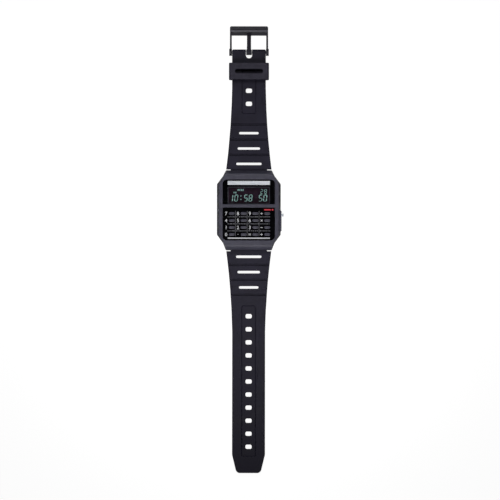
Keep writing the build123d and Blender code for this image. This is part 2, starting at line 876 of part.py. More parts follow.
with BuildPart() as battery_clip:
    clip_underside = battery_underside - clip_gap - clip_sheet
    with BuildSketch(Plane.XY.offset(clip_underside)):
        with Locations((0, battery_y)):
            Rectangle(clip_width, 2 * clip_leg_y + clip_sheet)
    extrude(amount=clip_sheet)
    with BuildSketch(Plane.XY.offset(clip_underside)):
        with Locations((0, battery_y - clip_leg_y), (0, battery_y + clip_leg_y)):
            Rectangle(clip_width, clip_sheet)
    extrude(amount=board_underside - clip_underside - solder_gap)
keep(battery_clip, "battery_clip")

with BuildPart() as battery_contact:
    foot_low = board_underside - contact_sheet
    tip_low = battery_top + contact_clear
    tip_high = tip_low + contact_sheet
    start_y = battery_y - contact_length / 2
    end_y = battery_y + contact_length / 2
    foot_y = start_y + contact_foot_share * contact_length
    tip_y = end_y - contact_foot_share * contact_length
    with BuildSketch(Plane.YZ):
        Polygon(
            (start_y, board_underside),
            (start_y, foot_low),
            (foot_y, foot_low),
            (tip_y, tip_low),
            (end_y, tip_low),
            (end_y, tip_high),
            (tip_y, tip_high),
            (foot_y, board_underside),
            align=None,
        )
    extrude(amount=contact_width / 2, both=True)
keep(battery_contact, "battery_contact")

# Sounder, its contact and the insulating sheet
with BuildPart() as buzzer_plate:
    with BuildSketch(Plane.XY.offset(cover_sheet)):
        with Locations((buzzer_x, buzzer_y)):
            Circle(buzzer_radius)
    extrude(amount=buzzer_sheet)
keep(buzzer_plate, "buzzer_plate")

with BuildPart() as buzzer_crystal:
    with BuildSketch(Plane.XY.offset(cover_sheet + buzzer_sheet)):
        with Locations((buzzer_x, buzzer_y)):
            Circle(buzzer_crystal_radius)
    extrude(amount=buzzer_crystal_height)
keep(buzzer_crystal, "buzzer_crystal")

with BuildPart() as buzzer_contact:
    low = cover_sheet + buzzer_sheet + buzzer_crystal_height + solder_gap
    near_y = buzzer_contact_y - buzzer_contact_width / 2
    far_y = buzzer_contact_y + buzzer_contact_width / 2
    with BuildSketch(Plane.YZ.offset(buzzer_x)):
        Polygon(
            (near_y, board_underside),
            (far_y, board_underside),
            (far_y, low),
            (near_y, low),
            (near_y, low + contact_sheet),
            (far_y - contact_sheet, low + contact_sheet),
            (far_y - contact_sheet, board_underside - contact_sheet),
            (near_y, board_underside - contact_sheet),
            align=None,
        )
    extrude(amount=buzzer_contact_width / 2, both=True)
keep(buzzer_contact, "buzzer_contact")

with BuildPart() as insulation_sheet:
    with BuildSketch(Plane.XY.offset(module_underside - insulation_gap - insulation_sheet_height)):
        Rectangle(frame_width - 2 * insulation_side_inset, frame_length - 2 * insulation_end_inset)
        with Locations((buzzer_x, buzzer_contact_y)):
            Rectangle(2 * buzzer_contact_width, 2 * buzzer_contact_width, mode=Mode.SUBTRACT)
    extrude(amount=insulation_sheet_height)
keep(insulation_sheet, "insulation_sheet")

# Push buttons, their clips and their seals
with BuildPart() as mode_button:
    with BuildSketch(Plane.YZ.offset(button_inner)):
        with Locations((mode_y, button_height)):
            small_round(button_stem_radius)
    extrude(amount=mode_reach - button_inner - mode_head_length)
    with BuildSketch(Plane.YZ.offset(mode_reach - mode_head_length)):
        with Locations((mode_y, button_height)):
            Circle(mode_head_radius)
    extrude(amount=mode_head_length)
    chamfer(mode_button.faces().sort_by(Axis.X)[-1].edges(), length=head_edge)
keep(mode_button, "mode_button")

with BuildPart() as adjust_button:
    with BuildSketch(Plane.YZ.offset(-button_inner)):
        with Locations((adjust_y, button_height)):
            small_round(button_stem_radius)
    extrude(amount=button_inner - adjust_reach + adjust_head_length)
    with BuildSketch(Plane.YZ.offset(adjust_head_length - adjust_reach)):
        with Locations((adjust_y, button_height)):
            small_round(adjust_radius)
    extrude(amount=-adjust_head_length)
    chamfer(adjust_button.faces().sort_by(Axis.X)[0].edges(), length=head_edge)
keep(adjust_button, "adjust_button")

for name, side, place in (("mode_button_clip", 1, mode_y), ("adjust_button_clip", -1, adjust_y)):
    clip_throat = button_stem_radius + button_seal_gap
    with BuildPart() as button_clip:
        with BuildSketch(Plane.YZ.offset(side * button_clip_x)):
            with Locations((place, button_height)):
                Rectangle(button_clip_size, button_clip_size)
            with Locations((place, button_height + button_clip_size / 2 - clip_throat)):
                Rectangle(2 * clip_throat, button_clip_size, mode=Mode.SUBTRACT)
        extrude(amount=-side * button_clip_sheet)
    keep(button_clip, name)

with BuildPart() as button_seals:
    for side, place in ((1, mode_y), (-1, adjust_y)):
        with BuildSketch(Plane.YZ.offset(side * button_seal_x)):
            with Locations((place, button_height)):
                small_round(button_seal_radius)
                small_round(button_stem_radius + button_seal_gap, Mode.SUBTRACT)
        extrude(amount=side * button_seal_length)
keep(button_seals, "button_seals")

# Sprung bars, a tube with a pin at each end
with BuildPart() as spring_bar_tubes:
    tube_end = tab_slot_width / 2 - spring_bar_end_gap
    with BuildSketch(Plane.YZ.offset(-tube_end)):
        with Locations((bar_y, bar_height), (-bar_y, bar_height)):
            Circle(spring_bar_radius)
            small_round(pin_hole, Mode.SUBTRACT)
    extrude(amount=2 * tube_end)
keep(spring_bar_tubes, "spring_bar_tubes")

with BuildPart() as spring_bar_pins:
    for side in (1, -1):
        with BuildSketch(Plane.YZ.offset(side * (tab_slot_width / 2 + pin_reach))):
            with Locations((bar_y, bar_height), (-bar_y, bar_height)):
                small_round(pin_radius)
        extrude(amount=-side * 2 * pin_reach)
keep(spring_bar_pins, "spring_bar_pins")


def flare(distance, shoulder, middle, straight):
    """Give the strap's half-width, on a smooth curve through three (distance, half-width) points."""
    total = 0
    points = (shoulder, middle, straight)
    for near in points:
        weight = near[1]
        for other in points:
            if other is not near:
                weight *= (distance - other[0]) / (near[0] - other[0])
        total += weight
    return total


def groove_points(place, surface):
    """Give a groove's outline, with its sloping walls carried on above the surface."""
    return [
        (place - groove_width + groove_floor / 2, surface + groove_depth),
        (place - groove_floor / 2, surface - groove_depth),
        (place + groove_floor / 2, surface - groove_depth),
        (place + groove_width - groove_floor / 2, surface + groove_depth),
    ]


def strap_openings(side, hole_start, holes):
    """Draw a strap's row of holes and the slots near its shoulder."""
    for index in range(holes):
        with Locations((0, side * (shoulder_y + hole_start + index * hole_pitch))):
            rounded_outline(hole_length, hole_width, hole_corner, opening_corner_sides)
    for index in range(slot_count):
        with Locations((0, side * (shoulder_y + slot_start + index * slot_pitch))):
            length = slot_length - index * slot_shorter
            rounded_outline(length, slot_width, slot_corner, opening_corner_sides)


def dimple_places(hole_start, holes):
    """Give the distances of the dimples, beside every slot and every other hole."""
    beside_slots = [shoulder_y + slot_start + index * slot_pitch for index in range(slot_count)]
    return beside_slots + [shoulder_y + hole_start + index * hole_pitch for index in range(0, holes, 2)]


def dimple_pair(distance, side, half_width):
    """Draw one dimple inside each edge of a strap."""
    across = half_width - dimple_inset
    with Locations((across, side * distance), (-across, side * distance)):
        RegularPolygon(radius=dimple_radius, side_count=dimple_sides)


# Short strap, with its tab at the case and the buckle's bar at its far end
short_shoulder = (shoulder_y, short_shoulder_width / 2)
short_middle_point = (shoulder_y + short_middle, short_middle_width / 2)
short_straight_point = (shoulder_y + short_straight, short_end_width / 2)
with BuildPart() as strap_short:
    with BuildSketch(Plane.YZ):
        Polygon(
            (bar_y, strap_top),
            (buckle_bar_y, strap_top),
            (buckle_bar_y, strap_underside),
            (buckle_bar_y - strap_thickness, tail_underside),
            (shoulder_y + short_thin, tail_underside),
            (shoulder_y, strap_underside),
            (bar_y, strap_underside),
            align=None,
        )
        with Locations((bar_y, bar_height), (buckle_bar_y, bar_height)):
            Circle(strap_thickness / 2)
    extrude(amount=short_shoulder_width, both=True)
    with BuildSketch():
        with BuildLine():
            tab_y = bar_y - strap_thickness
            shoulder, middle, straight = [
                point[::-1] for point in (short_shoulder, short_middle_point, short_straight_point)
            ]
            Polyline((0, tab_y), (tab_width / 2, tab_y), (tab_width / 2, shoulder_y), shoulder)
            ThreePointArc(shoulder, middle, straight)
            Polyline(straight, (short_end_width / 2, short_end_y), (0, short_end_y))
            mirror(about=Plane.YZ)
        make_face()
        fillet(vertices().group_by(Axis.Y)[-1], radius=end_corner)
    extrude(amount=strap_top + overrun, both=True, mode=Mode.INTERSECT)
    # Recessed panel, holes, slots, notch for the tongue, and grooves
    with BuildSketch(Plane.XY.offset(strap_top)):
        with Locations((0, shoulder_y + short_panel_start + short_panel_length / 2)):
            rounded_outline(panel_width, short_panel_length, panel_corner, opening_corner_sides)
    extrude(amount=-panel_depth, taper=panel_draft, mode=Mode.SUBTRACT)
    with BuildSketch():
        strap_openings(1, short_hole_start, short_holes)
        with Locations((0, short_end_y)):
            notch_depth = short_end_y - buckle_bar_y + notch_length
            SlotOverall(2 * notch_depth, notch_width, rotation=90)
    extrude(amount=strap_top + overrun, both=True, mode=Mode.SUBTRACT)
    with BuildSketch(Plane.YZ):
        for index in range(groove_count):
            place = shoulder_y + short_groove_start + index * short_groove_pitch
            Polygon(*groove_points(place, strap_top), align=None)
    extrude(amount=short_shoulder_width, both=True, mode=Mode.SUBTRACT)
    with BuildSketch(Plane.XY.offset(strap_top - dimple_depth)):
        for place in dimple_places(short_hole_start, short_holes):
            half_width = short_end_width / 2
            if place < short_straight_point[0]:
                half_width = flare(place, short_shoulder, short_middle_point, short_straight_point)
            dimple_pair(place, 1, half_width)
    extrude(amount=dimple_depth + overrun, mode=Mode.SUBTRACT)
    with BuildSketch(Plane.YZ):
        with Locations((bar_y, bar_height), (buckle_bar_y, bar_height)):
            Circle(bar_bore)
    extrude(amount=short_shoulder_width, both=True, mode=Mode.SUBTRACT)
keep(strap_short, "strap_short")

# Long strap, with its tab at the case and a pointed tail
long_shoulder = (shoulder_y, long_shoulder_width / 2)
long_middle_point = (shoulder_y + long_middle, long_middle_width / 2)
long_straight_point = (shoulder_y + long_straight, long_straight_width / 2)


def long_surface(distance):
    """Give the height of the long strap's face at a distance from the case's middle."""
    if distance >= shoulder_y + long_thin:
        return long_tail_top
    return strap_top - (distance - shoulder_y) * (strap_top - long_tail_top) / long_thin


with BuildPart() as strap_long:
    with BuildSketch(Plane.YZ):
        Polygon(
            (-bar_y, strap_top),
            (-shoulder_y, strap_top),
            (-shoulder_y - long_thin, long_tail_top),
            (-long_end_y - overrun, long_tail_top),
            (-long_end_y - overrun, strap_underside),
            (-bar_y, strap_underside),
            align=None,
        )
        with Locations((-bar_y, bar_height)):
            Circle(strap_thickness / 2)
    extrude(amount=long_shoulder_width, both=True)
    with BuildSketch():
        with BuildLine():
            tab_y = strap_thickness - bar_y
            shoulder, middle, straight = [
                (point[1], -point[0]) for point in (long_shoulder, long_middle_point, long_straight_point)
            ]
            Polyline((0, tab_y), (tab_width / 2, tab_y), (tab_width / 2, -shoulder_y), shoulder)
            ThreePointArc(shoulder, middle, straight)
            Polyline(
                straight,
                (long_straight_width / 2, long_tail - long_end_y),
                (long_end_width / 2, -long_end_y),
                (0, -long_end_y),
            )
            mirror(about=Plane.YZ)
        make_face()
        fillet(vertices().group_by(Axis.Y)[0], radius=long_end_corner)
    extrude(amount=strap_top + overrun, both=True, mode=Mode.INTERSECT)
    # Recessed panel, holes, slots and grooves
    for amount, draft in ((-panel_depth, panel_draft), (overrun, 0)):
        with BuildSketch(Plane.XY.offset(long_tail_top)):
            with Locations((0, -shoulder_y - long_panel_start - long_panel_length / 2)):
                rounded_outline(panel_width, long_panel_length, panel_corner, opening_corner_sides)
        extrude(amount=amount, taper=draft, mode=Mode.SUBTRACT)
    with BuildSketch():
        strap_openings(-1, long_hole_start, long_holes)
    extrude(amount=strap_top + overrun, both=True, mode=Mode.SUBTRACT)
    with BuildSketch(Plane.YZ):
        for index in range(groove_count):
            place = shoulder_y + long_groove_start + index * long_groove_pitch
            Polygon(*groove_points(-place, long_surface(place)), align=None)
    extrude(amount=long_shoulder_width, both=True, mode=Mode.SUBTRACT)
    for place in dimple_places(long_hole_start, long_holes):
        half_width = long_straight_width / 2
        if place < long_straight_point[0]:
            half_width = flare(place, long_shoulder, long_middle_point, long_straight_point)
        with BuildSketch(Plane.XY.offset(long_surface(place) - dimple_depth)):
            dimple_pair(place, -1, half_width)
        extrude(amount=dimple_depth + overrun, mode=Mode.SUBTRACT)
    with BuildSketch(Plane.YZ):
        with Locations((-bar_y, bar_height)):
            Circle(bar_bore)
    extrude(amount=long_shoulder_width, both=True, mode=Mode.SUBTRACT)
keep(strap_long, "strap_long")

# Keeper loop round the short strap
with BuildPart() as keeper_loop:
    keeper_middle = (keeper_inner_low + keeper_inner_high) / 2
    inner_height = keeper_inner_high - keeper_inner_low
    with BuildSketch(Plane.XZ.offset(-keeper_y)):
        with Locations((0, keeper_middle)):
            RectangleRounded(keeper_width, inner_height + 2 * keeper_wall, keeper_corner)
            inner_width = keeper_width - 2 * keeper_wall
            rounded_outline(
                inner_width, inner_height, keeper_inner_corner, opening_corner_sides, Mode.SUBTRACT
            )
    extrude(amount=keeper_length / 2, both=True)
    with BuildSketch(Plane.XY.offset(keeper_middle)):
        with Locations((0, keeper_y)):
            rounded_outline(keeper_slot_length, keeper_slot_width, keeper_slot_corner, corner_sides)
    extrude(amount=inner_height, mode=Mode.SUBTRACT)
keep(keeper_loop, "keeper_loop")

# Buckle frame, a ridged crossbar on two arms with ears at the pin
with BuildPart() as buckle_frame:
    buckle_ledge_y = crossbar_low_y + buckle_ledge_depth
    ledge_top = buckle_low + buckle_ledge_height
    with BuildSketch(Plane.YZ):
        face_top = buckle_low + buckle_face_height
        ridge_top = buckle_low + buckle_ridge_height
        Polygon(
            (crossbar_low_y, buckle_low),
            (buckle_top_y, buckle_low),
            (buckle_top_y, face_top),
            (buckle_ridge_y + ridge_top - face_top, face_top),
            (buckle_ridge_y, ridge_top),
            (buckle_ledge_y, ridge_top),
            (buckle_ledge_y, ledge_top),
            (crossbar_low_y, ledge_top),
            align=None,
        )
    extrude(amount=buckle_width / 2, both=True)
    with BuildSketch(Plane.XY.offset(buckle_low)):
        arm_width = (buckle_width - buckle_inner_width) / 2
        arm_x = (buckle_width + buckle_inner_width) / 2
        with Locations((0, (buckle_bar_y + buckle_top_y) / 2)):
            with GridLocations(arm_x, 0, 2, 1):
                Rectangle(arm_width, buckle_top_y - buckle_bar_y)
    extrude(amount=buckle_arm_height)
    fillet(buckle_frame.edges().filter_by(Axis.Z).group_by(Axis.Y)[-1], radius=buckle_corner)
    ear_inner = short_end_width / 2 + ear_gap
    for side in (1, -1):
        with BuildSketch(Plane.YZ.offset(side * ear_inner)):
            with Locations((buckle_bar_y, bar_height)):
                Circle(ear_radius)
        extrude(amount=side * (ear_width / 2 - ear_inner))
    with BuildSketch(Plane.YZ):
        with Locations((buckle_bar_y, bar_height)):
            Circle(spring_bar_radius + buckle_pin_gap)
    extrude(amount=ear_width, both=True, mode=Mode.SUBTRACT)
keep(buckle_frame, "buckle_frame")

with BuildPart() as buckle_pin:
    with BuildSketch(Plane.YZ):
        with Locations((buckle_bar_y, bar_height)):
            Circle(spring_bar_radius)
    extrude(amount=ear_width / 2 - buckle_pin_end, both=True)
keep(buckle_pin, "buckle_pin")

# Tongue, hinged on the pin and resting on the crossbar's ledge
with BuildPart() as buckle_tongue:
    with BuildSketch(Plane.YZ):
        with Locations((buckle_bar_y, bar_height)):
            Circle(tongue_root_radius)
    extrude(amount=tongue_root_width / 2, both=True)
    with BuildSketch(Plane.YZ):
        root_top = bar_height + tongue_root_radius
        tip_low = ledge_top + tongue_seat_gap
        Polygon(
            (buckle_bar_y, root_top - tongue_thickness),
            (buckle_bar_y, root_top),
            (tongue_bend_y, root_top + tongue_rise),
            (tongue_tip_y, tip_low + tongue_tip_thickness),
            (tongue_tip_y, tip_low),
            (tongue_bend_y, root_top + tongue_rise - tongue_thickness),
            align=None,
        )
    extrude(amount=tongue_width / 2, both=True)
    with BuildSketch(Plane.YZ):
        with Locations((buckle_bar_y, bar_height)):
            Circle(spring_bar_radius + tongue_bore_gap)
    extrude(amount=tongue_root_width, both=True, mode=Mode.SUBTRACT)
keep(buckle_tongue, "buckle_tongue")
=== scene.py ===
import json
import math
import random

import bmesh
import bpy
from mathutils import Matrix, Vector
from mathutils.bvhtree import BVHTree


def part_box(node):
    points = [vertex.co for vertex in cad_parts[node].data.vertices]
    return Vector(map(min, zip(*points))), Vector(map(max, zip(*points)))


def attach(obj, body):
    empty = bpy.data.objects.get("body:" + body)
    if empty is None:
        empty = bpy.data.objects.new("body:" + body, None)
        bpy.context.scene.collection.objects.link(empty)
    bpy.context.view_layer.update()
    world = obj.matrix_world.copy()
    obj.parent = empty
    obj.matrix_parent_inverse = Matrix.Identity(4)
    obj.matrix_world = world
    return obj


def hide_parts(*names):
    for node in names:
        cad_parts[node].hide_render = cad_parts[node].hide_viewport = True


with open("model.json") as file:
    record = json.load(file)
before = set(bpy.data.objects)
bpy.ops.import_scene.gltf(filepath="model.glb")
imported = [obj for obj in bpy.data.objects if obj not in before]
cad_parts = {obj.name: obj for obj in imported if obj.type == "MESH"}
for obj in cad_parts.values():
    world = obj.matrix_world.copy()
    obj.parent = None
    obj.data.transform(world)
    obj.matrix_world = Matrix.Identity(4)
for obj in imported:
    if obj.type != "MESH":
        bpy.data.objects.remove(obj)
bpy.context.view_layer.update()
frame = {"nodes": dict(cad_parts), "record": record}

# Calculator watch in moulded resin, lying open on a white table and seen from straight above.
# Sizes in the dictionaries are millimetres, and mm turns them into the scene's metres.
mm = 0.001
bpy.context.scene.view_settings.view_transform = "Standard"
record = frame["record"]
bodyOf = {node: body for body, nodes in record["behaviour"]["bodies"].items() for node in nodes}
slotOf = {part["node"]: part["material_slot"] for part in record["subparts"]}
print("frame loaded:", len(frame["nodes"]), "nodes")


def boxOf(node):
    low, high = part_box(node)
    return low / mm, high / mm


# Materials, each built from one dictionary that starts from the real finish. A noise keeps nearly all its
# values inside the wide span, and the tone patches stretch the narrow one
noiseSpan = {"wide": (0.3, 0.7), "narrow": (0.35, 0.65)}
bandWidth = 0.314  # One band of the wave texture at scale 1


def linearColour(hexColour):
    # The sRGB curve, taken back to linear light
    channels = [int(hexColour[start:start + 2], 16) / 255 for start in (1, 3, 5)]
    return [c / 12.92 if c <= 0.04045 else ((c + 0.055) / 1.055) ** 2.4 for c in channels] + [1]


def addNode(tree, kind, settings=None, links=None):
    node = tree.nodes.new(kind)
    for name, value in (settings or {}).items():
        if isinstance(name, int) or name in node.inputs:
            node.inputs[name].default_value = value
        else:
            setattr(node, name, value)
    for name, source in (links or {}).items():
        tree.links.new(source, node.inputs[name])
    return node


def startMaterial(look):
    material = bpy.data.materials.new(look["name"])
    material.use_nodes = True
    tree = material.node_tree
    tree.nodes.clear()
    shader = {"Roughness": look["roughness"], "Metallic": look.get("metallic", 0)}
    if "ior" in look:
        shader["IOR"] = look["ior"]
    shader["Specular IOR Level"] = look.get("specular", 0.5)
    surface = addNode(tree, "ShaderNodeBsdfPrincipled", shader)
    addNode(tree, "ShaderNodeOutputMaterial", links={"Surface": surface.outputs["BSDF"]})
    place = addNode(tree, "ShaderNodeTexCoord").outputs["Object"]
    return material, tree, surface, place


def glossAndRelief(tree, surface, tones, relief, look):
    # Roughness swings about its middle value with the tones, and the finer pattern stands up as relief
    low, high = look["roughness"] - look["swing"], look["roughness"] + look["swing"]
    least, most = noiseSpan["wide"]
    gloss = addNode(
        tree, "ShaderNodeMapRange",
        {"From Min": least, "From Max": most, "To Min": low, "To Max": high}, {"Value": tones},
    )
    tree.links.new(gloss.outputs["Result"], surface.inputs["Roughness"])
    bump = addNode(
        tree, "ShaderNodeBump", {"Strength": look["relief"], "Distance": look["depth"] * mm},
        {"Height": relief},
    )
    tree.links.new(bump.outputs["Normal"], surface.inputs["Normal"])


def mouldedFinish(look):
    # Tool-textured plastic or rubber: broad tone patches that also change the gloss, and a fine eroded grain
    material, tree, surface, place = startMaterial(look)
    patches = addNode(
        tree, "ShaderNodeTexNoise",
        {"Scale": 1 / (look["patch"] * mm), "Detail": 3.0, "Roughness": 0.6}, {"Vector": place},
    )
    least, most = noiseSpan["narrow"]
    stretch = addNode(
        tree, "ShaderNodeMapRange", {"From Min": least, "From Max": most}, {"Value": patches.outputs["Fac"]},
    )
    colour = addNode(
        tree, "ShaderNodeMix",
        {"data_type": "RGBA", 6: linearColour(look["dark"]), 7: linearColour(look["light"])},
        {0: stretch.outputs["Result"]},
    ).outputs[2]
    tree.links.new(colour, surface.inputs["Base Color"])
    grain = addNode(
        tree, "ShaderNodeTexNoise",
        {"Scale": 1 / (look["grain"] * mm), "Detail": 2.0, "Roughness": 0.5}, {"Vector": place},
    )
    glossAndRelief(tree, surface, patches.outputs["Fac"], grain.outputs["Fac"], look)
    return material


def brushedFinish(look):
    # Metal with straight or turned tool lines: the pattern is squeezed across them and stretched along them
    material, tree, surface, place = startMaterial(look)
    scale = [1 / (size * mm) for size in look["lines"]]
    squeezed = addNode(tree, "ShaderNodeMapping", {"Scale": scale}, {"Vector": place})
    lines = addNode(
        tree, "ShaderNodeTexNoise", {"Scale": 1.0, "Detail": 3.0, "Roughness": 0.65},
        {"Vector": squeezed.outputs["Vector"]},
    ).outputs["Fac"]
    colour = addNode(
        tree, "ShaderNodeMix",
        {"data_type": "RGBA", 6: linearColour(look["dark"]), 7: linearColour(look["light"])}, {0: lines},
    ).outputs[2]
    tree.links.new(colour, surface.inputs["Base Color"])
    glossAndRelief(tree, surface, lines, lines, look)
    return material


def bandedFinish(look):
    # Even bands along one axis, such as windings or conductive layers, with a soft step between them
    material, tree, surface, place = startMaterial(look)
    bands = addNode(
        tree, "ShaderNodeTexWave",
        {
            "bands_direction": look["axis"], "Scale": bandWidth / (look["pitch"] * mm),
            "Distortion": look["waver"], "Detail": 1.0,
        },
        {"Vector": place},
    ).outputs["Fac"]
    colour = addNode(
        tree, "ShaderNodeMix",
        {"data_type": "RGBA", 6: linearColour(look["dark"]), 7: linearColour(look["light"])}, {0: bands},
    ).outputs[2]
    tree.links.new(colour, surface.inputs["Base Color"])
    glossAndRelief(tree, surface, bands, bands, look)
    return material


def clearFinish(look):
    # Clear plastic or glass: it bends what is seen through it, and lets the lamps' light reach what is behind
    material, tree, surface, place = startMaterial(look)
    surface.inputs["Base Color"].default_value = linearColour(look["tint"])
    surface.inputs["Transmission Weight"].default_value = 1.0
    haze = addNode(
        tree, "ShaderNodeTexNoise", {"Scale": 1 / (look["patch"] * mm), "Detail": 2.0}, {"Vector": place},
    )
    glossAndRelief(tree, surface, haze.outputs["Fac"], haze.outputs["Fac"], look)
    shadow = addNode(tree, "ShaderNodeLightPath").outputs["Is Shadow Ray"]
    through = addNode(tree, "ShaderNodeBsdfTransparent", {"Color": linearColour(look["tint"])})
    mixed = addNode(tree, "ShaderNodeMixShader", links={0: shadow, 1: surface.outputs["BSDF"]})
    tree.links.new(through.outputs["BSDF"], mixed.inputs[2])
    output = next(node for node in tree.nodes if node.type == "OUTPUT_MATERIAL")
    tree.links.new(mixed.outputs["Shader"], output.inputs["Surface"])
    return material


# Spark-eroded ABS, satin and cool black. The grain is 0.1 mm, drawn at 0.3 so that it shows
caseResin = mouldedFinish({
    "name": "mouldedAbsSatin", "dark": "#393844", "light": "#41404d",
    "patch": 7, "grain": 0.3, "relief": 0.25, "depth": 0.02, "roughness": 0.46, "swing": 0.05, "ior": 1.53,
    "specular": 0.22,
})
# Cast polyurethane rubber, matt, darker than the case, with a faint bloom. Grain drawn coarser than real
strapResin = mouldedFinish({
    "name": "castPolyurethaneMatt", "dark": "#1c1a26", "light": "#24222f",
    "patch": 9, "grain": 0.35, "relief": 0.3, "depth": 0.02, "roughness": 0.56, "swing": 0.06, "ior": 1.5,
    "specular": 0.12,
})
# The keeper is a shade paler than the strap
keeperResin = mouldedFinish({
    "name": "castPolyurethanePaler", "dark": "#2b2934", "light": "#34323e",
    "patch": 6, "grain": 0.35, "relief": 0.3, "depth": 0.02, "roughness": 0.52, "swing": 0.06, "ior": 1.5,
    "specular": 0.14,
})
# Darker copies of the two resins on steep walls, as painted shade, with a coarser grain and rougher gloss
caseResinPaintedShade = mouldedFinish({
    "name": "mouldedAbsPaintedShade", "dark": "#15141b", "light": "#1c1b23",
    "patch": 5, "grain": 0.35, "relief": 0.35, "depth": 0.02, "roughness": 0.6, "swing": 0.05, "ior": 1.53,
    "specular": 0.06,
})
strapResinPaintedShade = mouldedFinish({
    "name": "castPolyurethanePaintedShade", "dark": "#13121a", "light": "#191821",
    "patch": 7, "grain": 0.4, "relief": 0.35, "depth": 0.02, "roughness": 0.7, "swing": 0.05, "ior": 1.5,
    "specular": 0.02,
})
# Moulded ABS key tops, a little glossier than the case where fingers press
keyPlastic = mouldedFinish({
    "name": "mouldedAbsKeys", "dark": "#383743", "light": "#403f4b",
    "patch": 2, "grain": 0.25, "relief": 0.2, "depth": 0.015, "roughness": 0.42, "swing": 0.05, "ior": 1.53,
    "specular": 0.22,
})
# Polycarbonate key panel, deep black with a soft gloss from its hard coat
panelPlastic = mouldedFinish({
    "name": "hardCoatedPolycarbonate", "dark": "#020203", "light": "#050507",
    "patch": 5, "grain": 0.4, "relief": 0.08, "depth": 0.01, "roughness": 0.14, "swing": 0.03, "ior": 1.58,
    "specular": 0.2,
})
# Screen-printed inks, with the thread of the screen just showing
inkBlack = mouldedFinish({
    "name": "screenInkBlack", "dark": "#000001", "light": "#020203",
    "patch": 3, "grain": 0.3, "relief": 0.1, "depth": 0.01, "roughness": 0.6, "swing": 0.05, "ior": 1.48,
    "specular": 0.01,
})
inkWhite = mouldedFinish({
    "name": "screenInkWhite", "dark": "#abacb0", "light": "#bfc0c3",
    "patch": 1, "grain": 0.25, "relief": 0.15, "depth": 0.01, "roughness": 0.55, "swing": 0.05, "ior": 1.48,
})
inkGrey = mouldedFinish({
    "name": "screenInkGrey", "dark": "#56565c", "light": "#66666c",
    "patch": 1, "grain": 0.25, "relief": 0.15, "depth": 0.01, "roughness": 0.55, "swing": 0.05, "ior": 1.48,
})
inkDim = mouldedFinish({
    "name": "screenInkDim", "dark": "#1d1c22", "light": "#26252b",
    "patch": 1, "grain": 0.25, "relief": 0.15, "depth": 0.01, "roughness": 0.55, "swing": 0.05, "ior": 1.48,
    "specular": 0.1,
})
inkRed = mouldedFinish({
    "name": "screenInkRed", "dark": "#b81a2a", "light": "#cc2636",
    "patch": 1, "grain": 0.25, "relief": 0.15, "depth": 0.01, "roughness": 0.5, "swing": 0.05, "ior": 1.48,
})
# Hot-stamped aluminium foil, brushed along the strip
silverFoil = brushedFinish({
    "name": "stampedFoilBrushed", "dark": "#9c9da2", "light": "#b9babf", "metallic": 0.35,
    "lines": (6, 0.15, 1), "relief": 0.15, "depth": 0.01, "roughness": 0.45, "swing": 0.08,
})
# Liquid-crystal cell: violet-black polariser, and teal-grey strokes where light passes
polariserFilm = mouldedFinish({
    "name": "laminatedPolariser", "dark": "#12060f", "light": "#180a16",
    "patch": 6, "grain": 0.5, "relief": 0.05, "depth": 0.01, "roughness": 0.35, "swing": 0.04, "ior": 1.5,
    "specular": 0.05,
})
crystalStroke = mouldedFinish({
    "name": "openCrystalTeal", "dark": "#5f7d79", "light": "#6f908b",
    "patch": 0.8, "grain": 0.25, "relief": 0.08, "depth": 0.01, "roughness": 0.45, "swing": 0.05, "ior": 1.5,
    "specular": 0.2,
})
# Injection-moulded acrylic window and float-glass cell plates. A polished window any rougher than this
# scatters bright specks over the display
windowAcrylic = clearFinish({
    "name": "mouldedAcrylicClear", "tint": "#f4f6f6", "patch": 8, "roughness": 0.004, "swing": 0.003,
    "ior": 1.49, "relief": 0.01, "depth": 0.01,
})
cellGlass = clearFinish({
    "name": "floatGlassThin", "tint": "#e9f2ee", "patch": 6, "roughness": 0.03, "swing": 0.02, "ior": 1.52,
    "relief": 0.02, "depth": 0.01,
})
# Stainless steel, brushed along the strap on the cover and turned on the buttons
coverSteel = brushedFinish({
    "name": "stainlessBrushed", "dark": "#a3a3a5", "light": "#c2c2c3", "metallic": 1,
    "lines": (0.2, 14, 1), "relief": 0.25, "depth": 0.01, "roughness": 0.34, "swing": 0.1,
})
turnedSteel = brushedFinish({
    "name": "stainlessTurned", "dark": "#8b9098", "light": "#aab0b8", "metallic": 1,
    "lines": (0.12, 3, 3), "relief": 0.2, "depth": 0.01, "roughness": 0.3, "swing": 0.08,
})
rolledSteel = brushedFinish({
    "name": "springSteelRolled", "dark": "#8f8f92", "light": "#a9a9ac", "metallic": 1,
    "lines": (0.3, 5, 0.3), "relief": 0.15, "depth": 0.01, "roughness": 0.38, "swing": 0.08,
})
# Black-lacquered steel of the buckle, satin, with faint tool lines under the coat. A paler copy on its
# ridge is a painted highlight, and a darker copy on its steep edges is painted shade
lacqueredSteel = brushedFinish({
    "name": "blackLacqueredSteel", "dark": "#191721", "light": "#201e29", "ior": 1.5, "specular": 0.2,
    "lines": (9, 0.3, 0.3), "relief": 0.2, "depth": 0.01, "roughness": 0.38, "swing": 0.06,
})
lacqueredSteelPaintedHighlight = brushedFinish({
    "name": "blackLacqueredSteelPaintedHighlight", "dark": "#34323d", "light": "#42404b", "ior": 1.5, "specular": 0.3,
    "lines": (9, 0.3, 0.3), "relief": 0.15, "depth": 0.01, "roughness": 0.32, "swing": 0.05,
})
# A darker copy of the lacquer for the buckle's steep edges: painted shade
lacqueredSteelPaintedShade = brushedFinish({
    "name": "blackLacqueredSteelPaintedShade", "dark": "#121118", "light": "#18171f", "ior": 1.5, "specular": 0.03,
    "lines": (0.3, 0.3, 4), "relief": 0.25, "depth": 0.01, "roughness": 0.6, "swing": 0.06,
})
